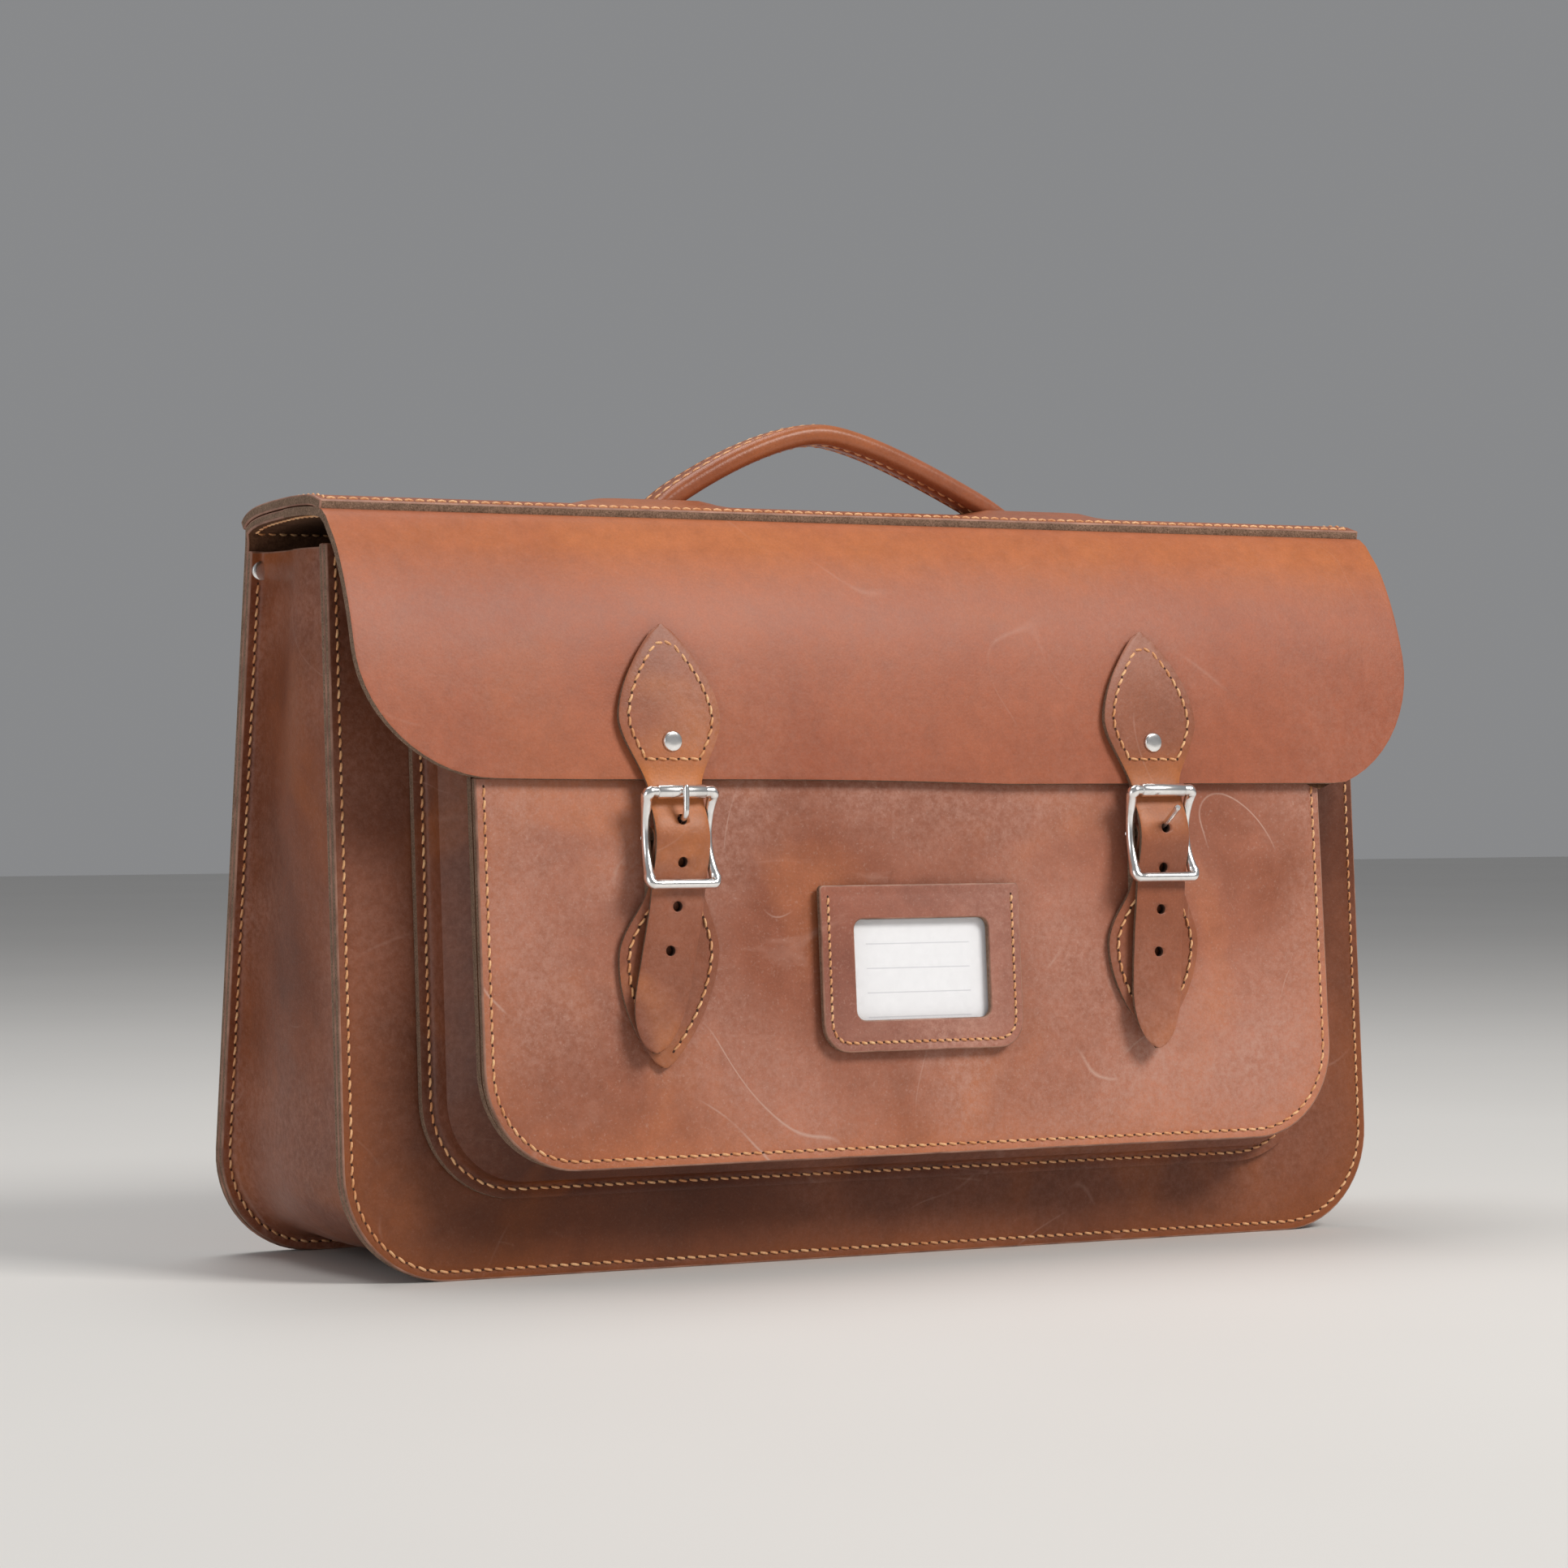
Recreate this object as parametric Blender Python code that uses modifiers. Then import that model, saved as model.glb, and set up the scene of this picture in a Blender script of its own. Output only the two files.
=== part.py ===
"""Leather satchel: body with outward-turned seams, outside pocket, fold-over flap,
two buckled straps, handle on a top strip, and a name-card holder.

Metres, +Z up, +X to the right seen from the front, the front faces -Y.
The bag stands on the lower edges of its front and back panels at z = 0.
"""

import math

import bmesh
import bpy
from mathutils import Matrix, Vector

# ---------------------------------------------------------------- driving dimensions
WIDTH = 0.420            # body, over the seam edges
DEPTH = 0.122            # body at the base, outer face to outer face
FRONT_Y = -0.0425        # outer face of the front panel at the base
FRONT_LEAN = 0.065       # the front leans back by this much per unit of height
BACK_LEAN = -0.134       # the back leans forward by this much per unit of height
BODY_TOP = 0.249         # top edge of the front panel and the gusset
HINGE_Z = 0.2535         # where the flap starts to fold, at the back
HINGE_BEND_R = 0.0052    # outer radius of that fold
CORNER_R = 0.038         # bottom corners of the body
SEAM = 0.009             # width of the turned-out seam flange
LEATHER = 0.003
THIN_LEATHER = 0.0024
GAP = 0.0003             # running gap between faces that touch
BEND_R = 0.001           # visible inside radius where a gusset turns into its flange

POCKET_BOTTOM_Y = -0.033     # pocket front face, from FRONT_Y, where its plane meets z = 0
POCKET_LEAN = 0.077
POCKET_HALF = 0.172
POCKET_BOTTOM = 0.038
POCKET_TOP = 0.170
POCKET_R = 0.034
POCKET_SEAM = 0.008
POCKET_BASE_HALF = 0.182     # outline of the pocket gusset's flange on the front panel
POCKET_BASE_BOTTOM = 0.027
POCKET_BASE_TOP = 0.200

FLAP_HALF = 0.214
FLAP_CORNER_R = 0.048
RIDGE_Y = 0.008              # from FRONT_Y, outer surface where the flap turns down
RIDGE_Z = 0.2595
FLAP_TIP_Y = -0.024
FLAP_TIP_Z = 0.1675

STRIP_BACK_Y = 0.079         # top strip, from FRONT_Y
STRIP_FRONT_Y = 0.0125

HANDLE_Y = 0.043             # from FRONT_Y
HANDLE_HALF_SPAN = 0.078
HANDLE_RISE = 0.0335
HANDLE_WIDTH = 0.024
HANDLE_THICK = 0.0085
HANDLE_PIVOT_Z = 0.268

STRAP_LEFT_X = -0.1005
STRAP_RIGHT_X = 0.0952
STRAP_WIDTH = 0.0204
STRAP_THICK = 0.0028
STRAP_TIP_Z = 0.2215
STRAP_END_Z = 0.0725
PATCH_WIDTH = 0.039
HOLE_R = 0.0019
HOLE_HEIGHTS = (0.1557, 0.1412, 0.1262, 0.1112)

BAR_Z = 0.1495               # buckle's centre bar
BAR_OFF = 0.0052             # centre bar, out from the pocket's face
BAR_R = 0.0015
BUCKLE_HALF_WIDTH = 0.0142
BUCKLE_HALF_HEIGHT = 0.0172
BUCKLE_WIRE_R = 0.0016
BUCKLE_TOP_OFF = 0.0114
BUCKLE_MID_OFF = 0.0070
ROLLER_R = 0.0024
ROLLER_BORE_R = 0.0017
ROLLER_HALF = 0.0090
PRONG_R = 0.0011

CHAPE_TIP_Z = 0.0735
CHAPE_WIDTH = 0.038
CHAPE_NECK = 0.0190

HOLDER_X = -0.0035
HOLDER_HALF = 0.0405
HOLDER_BOTTOM = 0.0745
HOLDER_TOP = 0.1325
HOLDER_R = 0.010
HOLDER_LEATHER = 0.0024
WINDOW_HALF = 0.0272
WINDOW_BOTTOM = 0.0855
WINDOW_TOP = 0.1205
WINDOW_R = 0.0035

RIVET_CAP_R = 0.0036

NAME = "satchel_bag"
SIDES = (("left", -1.0, STRAP_LEFT_X), ("right", 1.0, STRAP_RIGHT_X))


# ---------------------------------------------------------------- scene and materials
def clear_scene():
    for obj in list(bpy.data.objects):
        bpy.data.objects.remove(obj, do_unlink=True)


def new_collection(name):
    found = bpy.data.collections.get(name)
    if found is None:
        found = bpy.data.collections.new(name)
        bpy.context.scene.collection.children.link(found)
    return found


def material(name, color, roughness, metallic=0.0, alpha=1.0):
    mat = bpy.data.materials.new(name)
    mat.use_nodes = True
    shader = mat.node_tree.nodes["Principled BSDF"]
    shader.inputs["Base Color"].default_value = (*color, 1.0)
    shader.inputs["Roughness"].default_value = roughness
    shader.inputs["Metallic"].default_value = metallic
    shader.inputs["Alpha"].default_value = alpha
    mat.diffuse_color = (*color, alpha)
    return mat


clear_scene()
PARTS = new_collection(NAME)
CUTTERS = new_collection("cutters")

LEATHER_BODY = (0.30, 0.105, 0.045)
LEATHER_LIGHT = (0.40, 0.150, 0.070)
LEATHER_DARK = (0.22, 0.075, 0.035)
METAL = (0.80, 0.79, 0.77)


# ---------------------------------------------------------------- helpers
def add_object(name, mesh, look, collection=PARTS):
    obj = bpy.data.objects.new(name, mesh)
    collection.objects.link(obj)
    if look is not None:
        color, roughness, metallic, alpha = look
        mesh.materials.clear()
        mesh.materials.append(material(name, color, roughness, metallic, alpha))
    return obj


def leather(color, roughness=0.55):
    return color, roughness, 0.0, 1.0


CHROME = (METAL, 0.12, 1.0, 1.0)


def smooth(obj, angle=40.0):
    obj.data.shade_smooth()
    obj.data.set_sharp_from_angle(angle=math.radians(angle))


def mesh_from_bmesh(name, bm):
    mesh = bpy.data.meshes.new(name)
    bmesh.ops.recalc_face_normals(bm, faces=bm.faces)
    bm.to_mesh(mesh)
    bm.free()
    return mesh


def to_mesh_object(curve_obj, look=None, collection=PARTS):
    """A curve object becomes a mesh object with its caps welded."""
    depsgraph = bpy.context.evaluated_depsgraph_get()
    mesh = bpy.data.meshes.new_from_object(curve_obj.evaluated_get(depsgraph))
    bm = bmesh.new()
    bm.from_mesh(mesh)
    bmesh.ops.remove_doubles(bm, verts=bm.verts, dist=1e-6)
    bmesh.ops.recalc_face_normals(bm, faces=bm.faces)
    bm.to_mesh(mesh)
    bm.free()
    name = curve_obj.name
    matrix = curve_obj.matrix_world.copy()
    bpy.data.objects.remove(curve_obj, do_unlink=True)
    obj = add_object(name, mesh, look, collection)
    obj.matrix_world = matrix
    return obj


def mapped_sheet(name, columns, rows, point, thickness, look, side=-1.0):
    """A sheet of leather: a grid laid on point(i, j), given its thickness by Solidify.

    side -1 puts the thickness behind the grid's face, 1 in front of it, 0 half each way.
    """
    bm = bmesh.new()
    bmesh.ops.create_grid(bm, x_segments=columns, y_segments=rows, size=1.0)
    for vert in bm.verts:
        i = round((vert.co.x + 1.0) / 2.0 * columns)
        j = round((vert.co.y + 1.0) / 2.0 * rows)
        vert.co = point(i, j)
    mesh = bpy.data.meshes.new(name)
    bm.to_mesh(mesh)
    bm.free()
    obj = add_object(name, mesh, look)
    solid = obj.modifiers.new("thickness", "SOLIDIFY")
    solid.thickness = thickness
    solid.offset = side
    solid.use_even_offset = True
    smooth(obj)
    return obj


def outline_plate(name, points, thickness, look, holes=()):
    """A flat plate in the XZ plane from a 2D outline; its faces are at y = 0 and y = thickness."""
    curve = bpy.data.curves.new(name, "CURVE")
    curve.dimensions = "2D"
    curve.fill_mode = "BOTH"
    curve.extrude = thickness / 2.0
    for loop in (points, *holes):
        spline = curve.splines.new("POLY")
        spline.points.add(len(loop) - 1)
        for target, (x, z) in zip(spline.points, loop):
            target.co = (x, z, 0.0, 1.0)
        spline.use_cyclic_u = True
    obj = bpy.data.objects.new(name, curve)
    PARTS.objects.link(obj)
    upright = Matrix.Translation((0.0, thickness / 2.0, 0.0)) @ Matrix.Rotation(math.pi / 2.0, 4, "X")
    obj.matrix_world = upright
    obj = to_mesh_object(obj, look)
    obj.data.transform(upright)
    obj.matrix_world = Matrix.Identity(4)
    return obj


def lean_on(obj, face):
    """Slide a flat upright plate along Y so that its front lies on the leaning plane face(z)."""
    for vert in obj.data.vertices:
        vert.co.y += face(vert.co.z)
    return obj


def arc(center, radius, start, end, steps):
    """Points of an arc in the XZ plane, angles in degrees."""
    points = []
    for k in range(steps + 1):
        angle = math.radians(start + (end - start) * k / steps)
        points.append((center[0] + radius * math.cos(angle), center[1] + radius * math.sin(angle)))
    return points


def bucket_outline(half, bottom, top, radius, steps=8):
    """A rectangle with round bottom corners."""
    left = arc((-half + radius, bottom + radius), radius, 180.0, 270.0, steps)
    right = arc((half - radius, bottom + radius), radius, 270.0, 360.0, steps)
    return [(-half, top), *left, *right, (half, top)]


def rounded_rectangle(half, bottom, top, radius, steps=4):
    loop = []
    for cx, cz, start in (
        (-half + radius, bottom + radius, 180.0),
        (half - radius, bottom + radius, 270.0),
        (half - radius, top - radius, 0.0),
        (-half + radius, top - radius, 90.0),
    ):
        loop += arc((cx, cz), radius, start, start + 90.0, steps)
    return loop


def cylinder(name, radius, length, matrix, look=None, collection=PARTS, sides=24):
    bm = bmesh.new()
    bmesh.ops.create_cone(
        bm, cap_ends=True, segments=sides, radius1=radius, radius2=radius, depth=length
    )
    bmesh.ops.transform(bm, matrix=matrix, verts=bm.verts)
    obj = add_object(name, mesh_from_bmesh(name, bm), look, collection)
    smooth(obj)
    return obj


def along_y(x, y, z):
    return Matrix.Translation((x, y, z)) @ Matrix.Rotation(math.pi / 2.0, 4, "X")


def along_x(x, y, z):
    return Matrix.Translation((x, y, z)) @ Matrix.Rotation(math.pi / 2.0, 4, "Y")


def hide_cutter(obj):
    obj.hide_render = True
    obj.display_type = "WIRE"
    return obj


def boolean(obj, tool, operation):
    mod = obj.modifiers.new(operation.lower(), "BOOLEAN")
    mod.operation = operation
    mod.object = tool
    mod.solver = "EXACT"
    tool.parent = obj


def cut(obj, tool):
    boolean(obj, hide_cutter(tool), "DIFFERENCE")


def join(obj, tool):
    boolean(obj, hide_cutter(tool), "UNION")


def wire(name, points, radius, look=None, closed=False, scales=None, collection=PARTS, sides=3):
    """A round bar along points; scales makes it thinner or thicker at each point."""
    curve = bpy.data.curves.new(name, "CURVE")
    curve.dimensions = "3D"
    curve.bevel_depth = radius
    curve.bevel_resolution = sides
    curve.use_fill_caps = not closed
    spline = curve.splines.new("POLY")
    spline.points.add(len(points) - 1)
    for k, (target, point) in enumerate(zip(spline.points, points)):
        target.co = (*point, 1.0)
        target.radius = 1.0 if scales is None else scales[k]
    spline.use_cyclic_u = closed
    obj = bpy.data.objects.new(name, curve)
    collection.objects.link(obj)
    obj = to_mesh_object(obj, look, collection)
    smooth(obj, 60.0)
    return obj


def interpolate(table, x):
    """Piecewise-linear value at x of a table of (x, value), x rising."""
    if x <= table[0][0]:
        return table[0][1]
    for (x0, v0), (x1, v1) in zip(table, table[1:]):
        if x <= x1:
            return v0 + (v1 - v0) * (x - x0) / (x1 - x0)
    return table[-1][1]


def resample(points, count):
    """count + 1 points, evenly spaced, on a smooth curve through 2D points."""
    dense = []
    for k in range(len(points) - 1):
        p0 = points[max(k - 1, 0)]
        p1, p2 = points[k], points[k + 1]
        p3 = points[min(k + 2, len(points) - 1)]
        for m in range(12):
            t = m / 12.0
            dense.append(
                tuple(
                    0.5
                    * (
                        2 * b
                        + (c - a) * t
                        + (2 * a - 5 * b + 4 * c - d) * t * t
                        + (3 * b - a - 3 * c + d) * t**3
                    )
                    for a, b, c, d in zip(p0, p1, p2, p3)
                )
            )
    dense.append(points[-1])
    lengths = [0.0]
    for a, b in zip(dense, dense[1:]):
        lengths.append(lengths[-1] + math.dist(a, b))
    result = []
    for k in range(count + 1):
        want = lengths[-1] * k / count
        result.append(
            (
                interpolate(list(zip(lengths, [p[0] for p in dense])), want),
                interpolate(list(zip(lengths, [p[1] for p in dense])), want),
            )
        )
    return result


# ---------------------------------------------------------------- leaning planes
def front_face(z):
    return FRONT_Y + FRONT_LEAN * z


def back_face(z):
    return FRONT_Y + DEPTH + BACK_LEAN * z


def pocket_face(z):
    return FRONT_Y + POCKET_BOTTOM_Y + POCKET_LEAN * z


# ---------------------------------------------------------------- body
def body_panels():
    front = outline_plate(
        "front_panel",
        bucket_outline(WIDTH / 2.0, 0.0, BODY_TOP, CORNER_R),
        LEATHER,
        leather(LEATHER_BODY),
    )
    lean_on(front, front_face)
    back = outline_plate(
        "back_panel",
        bucket_outline(WIDTH / 2.0, 0.0, HINGE_Z - GAP, CORNER_R),
        LEATHER,
        leather(LEATHER_BODY),
    )
    lean_on(back, lambda z: back_face(z) - LEATHER)


def u_stations(straight=3, corner=7, bottom=4):
    """Stations down the left side, round the corner, along the bottom and up the right side.

    Each is (kind, fraction): the same station sits on every inset of one U-shaped outline.
    """
    left = [("left", k / straight) for k in range(straight)]
    left += [("left_corner", k / corner) for k in range(corner)]
    middle = [("bottom", k / bottom) for k in range(bottom + 1)]
    right = [("right_corner", (k + 1) / corner) for k in range(corner)]
    right += [("right", (k + 1) / straight) for k in range(straight)]
    return left + middle + right


def on_u(station, half, bottom, top, radius, inset):
    """The (x, z) of a station on a U-shaped outline, moved inwards by inset."""
    kind, f = station
    side = half - inset
    round_x = half - radius
    round_z = bottom + radius
    if kind == "left":
        return -side, top + (round_z - top) * f
    if kind == "right":
        return side, round_z + (top - round_z) * f
    if kind == "bottom":
        return -round_x + 2.0 * round_x * f, bottom + inset
    angle = math.radians(180.0 + 90.0 * f if kind == "left_corner" else 270.0 + 90.0 * f)
    center_x = -round_x if kind == "left_corner" else round_x
    return (
        center_x + (radius - inset) * math.cos(angle),
        round_z + (radius - inset) * math.sin(angle),
    )


def flange_profile(seam, wall_steps):
    """(inset, y offset from the near flange, share of the way to the far flange) across a gusset."""
    turn = [
        (seam - BEND_R * (1.0 - math.sin(a)), BEND_R * (1.0 - math.cos(a)))
        for a in (0.0, math.pi / 4.0, math.pi / 2.0)
    ]
    near = [(0.0, 0.0, 0.0)] + [(inset, y, 0.0) for inset, y in turn]
    wall = [(seam, 0.0, (k + 1) / (wall_steps + 1)) for k in range(wall_steps)]
    far = [(inset, -y, 1.0) for inset, y in reversed(turn)] + [(0.0, 0.0, 1.0)]
    return near + wall + far


def main_gusset():
    stations = u_stations()
    profile = flange_profile(SEAM, 3)

    def point(i, j):
        inset, turn, share = profile[j]
        x, z = on_u(stations[i], WIDTH / 2.0, 0.0, BODY_TOP, CORNER_R, inset)
        near = front_face(z) + 2.0 * LEATHER + GAP
        far = back_face(z) - 2.0 * LEATHER - GAP
        if share in (0.0, 1.0):
            return Vector((x, (near if share == 0.0 else far) + turn, z))
        return Vector((x, near + BEND_R + (far - near - 2.0 * BEND_R) * share, z))

    return mapped_sheet(
        "main_gusset",
        len(stations) - 1,
        len(profile) - 1,
        point,
        LEATHER,
        leather(LEATHER_DARK),
        side=1.0,
    )


def pocket_gusset():
    stations = u_stations()
    profile = flange_profile(POCKET_SEAM, 2)

    def point(i, j):
        inset, turn, share = profile[j]
        xb, zb = on_u(
            stations[i], POCKET_BASE_HALF, POCKET_BASE_BOTTOM, POCKET_BASE_TOP, POCKET_R, inset
        )
        xf, zf = on_u(stations[i], POCKET_HALF, POCKET_BOTTOM, POCKET_TOP, POCKET_R, inset)
        x, z = xb + (xf - xb) * share, zb + (zf - zb) * share
        near = front_face(z) - LEATHER - GAP
        far = pocket_face(z) + 2.0 * LEATHER + GAP
        if share in (0.0, 1.0):
            return Vector((x, (near if share == 0.0 else far) - turn, z))
        return Vector((x, near - BEND_R + (far - near + 2.0 * BEND_R) * share, z))

    return mapped_sheet(
        "pocket_gusset", len(stations) - 1, len(profile) - 1, point, LEATHER, leather(LEATHER_DARK)
    )


def pocket_front():
    obj = outline_plate(
        "pocket_front_panel",
        bucket_outline(POCKET_HALF, POCKET_BOTTOM, POCKET_TOP, POCKET_R),
        LEATHER,
        leather(LEATHER_BODY),
    )
    return lean_on(obj, pocket_face)


# ---------------------------------------------------------------- flap and top strip
def top_profile():
    """(y, z) of the flap's outer surface from the hinge, over the top, to the ridge."""
    hinge_y = back_face(HINGE_Z)
    start_z = HINGE_Z + GAP
    points = [(hinge_y, start_z)]
    for k in range(5):
        a = math.radians(20.0 * k + 4.0)
        points.append(
            (
                hinge_y - HINGE_BEND_R * (1.0 - math.cos(a)),
                start_z + 0.0006 + HINGE_BEND_R * math.sin(a),
            )
        )
    points += [
        (FRONT_Y + 0.066, 0.2601),
        (FRONT_Y + 0.052, 0.2608),
        (FRONT_Y + 0.036, 0.2615),
        (FRONT_Y + 0.022, 0.2618),
        (FRONT_Y + 0.014, 0.2615),
        (FRONT_Y + RIDGE_Y + 0.0018, RIDGE_Z + 0.0014),
        (FRONT_Y + RIDGE_Y + GAP, RIDGE_Z + 0.8 * GAP),
    ]
    return points


def flap_front_profile():
    """(y, z) of the flap's outer surface from the ridge down to its lower edge."""
    return [
        (FRONT_Y + RIDGE_Y - GAP, RIDGE_Z - 0.8 * GAP),
        (FRONT_Y + RIDGE_Y - 0.0030, RIDGE_Z - 0.0027),
        (FRONT_Y - 0.0025, 0.2470),
        (FRONT_Y - 0.0100, 0.2320),
        (FRONT_Y - 0.0160, 0.2150),
        (FRONT_Y - 0.0205, 0.1940),
        (FRONT_Y + FLAP_TIP_Y, FLAP_TIP_Z),
    ]


def flap_top():
    path = top_profile()
    columns = 8

    def point(i, j):
        x = FLAP_HALF * (2.0 * i / columns - 1.0)
        return Vector((x, *path[j]))

    return mapped_sheet(
        "flap_top", columns, len(path) - 1, point, LEATHER, leather(LEATHER_LIGHT), side=1.0
    )


def flap_front():
    straight, corner, columns = 6, 8, 14
    length = sum(
        math.dist(a, b) for a, b in zip(flap_front_profile(), flap_front_profile()[1:])
    )
    path = resample(flap_front_profile(), 60)
    start_of_corner = length - FLAP_CORNER_R
    distances = [0.0, 0.003] + [start_of_corner * k / straight for k in range(1, straight)]
    half_widths = [FLAP_HALF] * len(distances)
    for k in range(corner + 1):
        angle = math.radians(84.0) * k / corner
        distances.append(start_of_corner + FLAP_CORNER_R * math.sin(angle) / math.sin(math.radians(84.0)))
        half_widths.append(FLAP_HALF - FLAP_CORNER_R * (1.0 - math.cos(angle)))

    def point(i, j):
        where = min(distances[j] / length, 1.0) * (len(path) - 1)
        low = min(int(where), len(path) - 2)
        share = where - low
        y = path[low][0] + (path[low + 1][0] - path[low][0]) * share
        z = path[low][1] + (path[low + 1][1] - path[low][1]) * share
        return Vector((half_widths[j] * (2.0 * i / columns - 1.0), y, z))

    return mapped_sheet(
        "flap_front",
        columns,
        len(distances) - 1,
        point,
        LEATHER,
        leather(LEATHER_LIGHT),
        side=1.0,
    )


TAB_IN = HANDLE_HALF_SPAN - 0.004
TAB_OUT = HANDLE_HALF_SPAN + 0.022
TAB_THICK = 0.0015
TAB_HALF_WIDTH = 0.011
SLOT_LENGTH = 0.0135


def top_surface(y):
    """Height of the flap's outer surface on the top, at y."""
    points = sorted(top_profile())
    return interpolate(points, y)


def strip_bump(x, y):
    """How far the handle's end, lying under the strip, lifts it at (x, y)."""
    ramp_x = min(1.0, max(0.0, (TAB_OUT + 0.008 - abs(x)) / 0.006))
    ramp_inner = min(1.0, max(0.0, (abs(x) - (TAB_IN - 0.018)) / 0.006))
    ramp_y = min(1.0, max(0.0, (TAB_HALF_WIDTH + 0.009 - abs(y - FRONT_Y - HANDLE_Y)) / 0.006))
    return (TAB_THICK + 2.0 * GAP) * ramp_x * ramp_inner * ramp_y


def top_strip():
    bump_edges = []
    for x in (TAB_IN - 0.018, TAB_IN - 0.012, TAB_OUT + 0.002, TAB_OUT + 0.008):
        bump_edges += [-x, x]
    xs = sorted([-FLAP_HALF, -0.16, 0.0, 0.16, FLAP_HALF] + bump_edges)
    center = FRONT_Y + HANDLE_Y
    ys = [FRONT_Y + STRIP_FRONT_Y, FRONT_Y + 0.0175]
    ys += [center - TAB_HALF_WIDTH - 0.009, center - TAB_HALF_WIDTH - 0.003, center]
    ys += [center + TAB_HALF_WIDTH + 0.003, center + TAB_HALF_WIDTH + 0.009]
    ys += [FRONT_Y + 0.070, FRONT_Y + STRIP_BACK_Y]

    def point(i, j):
        x, y = xs[i], ys[j]
        return Vector((x, y, top_surface(y) + GAP + strip_bump(x, y)))

    obj = mapped_sheet(
        "top_strip", len(xs) - 1, len(ys) - 1, point, LEATHER, leather(LEATHER_BODY), side=1.0
    )
    for side in (-1.0, 1.0):
        bm = bmesh.new()
        bmesh.ops.create_cube(bm, size=1.0)
        size = (SLOT_LENGTH, 2.0 * TAB_HALF_WIDTH + 0.004, 0.03)
        bmesh.ops.scale(bm, vec=size, verts=bm.verts)
        x = side * (TAB_IN + 0.0045 - SLOT_LENGTH / 2.0)
        bmesh.ops.translate(bm, vec=(x, center, 0.265), verts=bm.verts)
        name = "slot_cutter_left" if side < 0 else "slot_cutter_right"
        cut(obj, add_object(name, mesh_from_bmesh(name, bm), None, CUTTERS))
    return obj


# ---------------------------------------------------------------- handle
def loft(name, rings, look):
    """A solid through closed rings of points, all with the same number of points."""
    bm = bmesh.new()
    loops = [[bm.verts.new(p) for p in ring] for ring in rings]
    count = len(loops[0])
    for a, b in zip(loops, loops[1:]):
        for k in range(count):
            bm.faces.new((a[k], a[(k + 1) % count], b[(k + 1) % count], b[k]))
    bm.faces.new(loops[0])
    bm.faces.new(loops[-1])
    obj = add_object(name, mesh_from_bmesh(name, bm), look)
    smooth(obj)
    return obj


def handle_center(u):
    """Centre line of the handle: (x, z) and slope angle at u from -1 to 1 across the span."""
    x = u * HANDLE_HALF_SPAN
    z = HANDLE_PIVOT_Z - 0.0055 + HANDLE_RISE * (1.0 - abs(u) ** 1.9)
    slope = -HANDLE_RISE * 1.9 * abs(u) ** 0.9 * math.copysign(1.0, u) / HANDLE_HALF_SPAN
    return x, z, math.atan(slope)


def handle_ring(u, half_width, half_thick, sides=14):
    """A flattened round section of the handle at u, square to its centre line."""
    x, z, slope = handle_center(u)
    ring = []
    for k in range(sides):
        a = 2.0 * math.pi * k / sides
        across = half_width * math.copysign(abs(math.cos(a)) ** 0.75, math.cos(a))
        up = half_thick * math.copysign(abs(math.sin(a)) ** 0.75, math.sin(a))
        ring.append(
            (
                x - up * math.sin(slope),
                FRONT_Y + HANDLE_Y + across,
                z + up * math.cos(slope),
            )
        )
    return ring


GRIP_U = 0.78            # the moving part of the handle ends here
CORE_WALL = 0.0022


def handle():
    stations = [GRIP_U * (2.0 * k / 22 - 1.0) for k in range(23)]
    cover = loft(
        "handle_cover",
        [handle_ring(u, HANDLE_WIDTH / 2.0, HANDLE_THICK / 2.0) for u in stations],
        leather(LEATHER_BODY, 0.45),
    )
    bore = [
        handle_ring(u, HANDLE_WIDTH / 2.0 - CORE_WALL, HANDLE_THICK / 2.0 - CORE_WALL)
        for u in [-GRIP_U - 0.05] + stations[1:-1] + [GRIP_U + 0.05]
    ]
    cut_tool = loft("handle_bore_cutter", bore, None)
    PARTS.objects.unlink(cut_tool)
    CUTTERS.objects.link(cut_tool)
    cut(cover, cut_tool)
    core_half_width = HANDLE_WIDTH / 2.0 - CORE_WALL - GAP
    core_half_thick = HANDLE_THICK / 2.0 - CORE_WALL - GAP
    loft(
        "handle_core",
        [handle_ring(u * 0.985, core_half_width, core_half_thick) for u in stations],
        leather(LEATHER_DARK, 0.8),
    )
    for label, side, _ in SIDES:
        handle_end(label, side)


def handle_end(label, side):
    """The flattened end of the handle: from the grip down through the slot, then under the strip."""
    center = FRONT_Y + HANDLE_Y
    grip_x, grip_z, grip_slope = handle_center(GRIP_U + 0.008)
    low_x, low_z, low_slope = handle_center(0.90)
    tab_z = top_surface(center) + 1.5 * GAP + TAB_THICK / 2.0
    rings = []
    for x, z, tilt, half_width, half_thick, flat in (
        (grip_x, grip_z, grip_slope, 0.0114, 0.0036, 0.0),
        (low_x, low_z, low_slope, 0.0112, 0.0030, 0.0),
        (TAB_IN - 0.0020, 0.2655, -0.50, 0.0108, 0.0012, 0.0),
        (TAB_IN + 0.0020, tab_z, -0.15, 0.0108, TAB_THICK / 2.0, 1.0),
        (TAB_OUT - 0.0060, tab_z, 0.0, 0.0108, TAB_THICK / 2.0, 1.0),
        (TAB_OUT, tab_z, 0.0, 0.0080, TAB_THICK / 2.0, 1.0),
    ):
        ring = []
        for across, up in ((-1, -1), (1, -1), (1, 1), (-1, 1)):
            y = center + across * half_width
            lie = flat * (top_surface(y) - top_surface(center))
            rise = up * half_thick
            ring.append((side * (x - rise * math.sin(tilt)), y, z + lie + rise * math.cos(tilt)))
        rings.append(ring)
    return loft(f"handle_end_{label}", rings, leather(LEATHER_BODY, 0.5))


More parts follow.
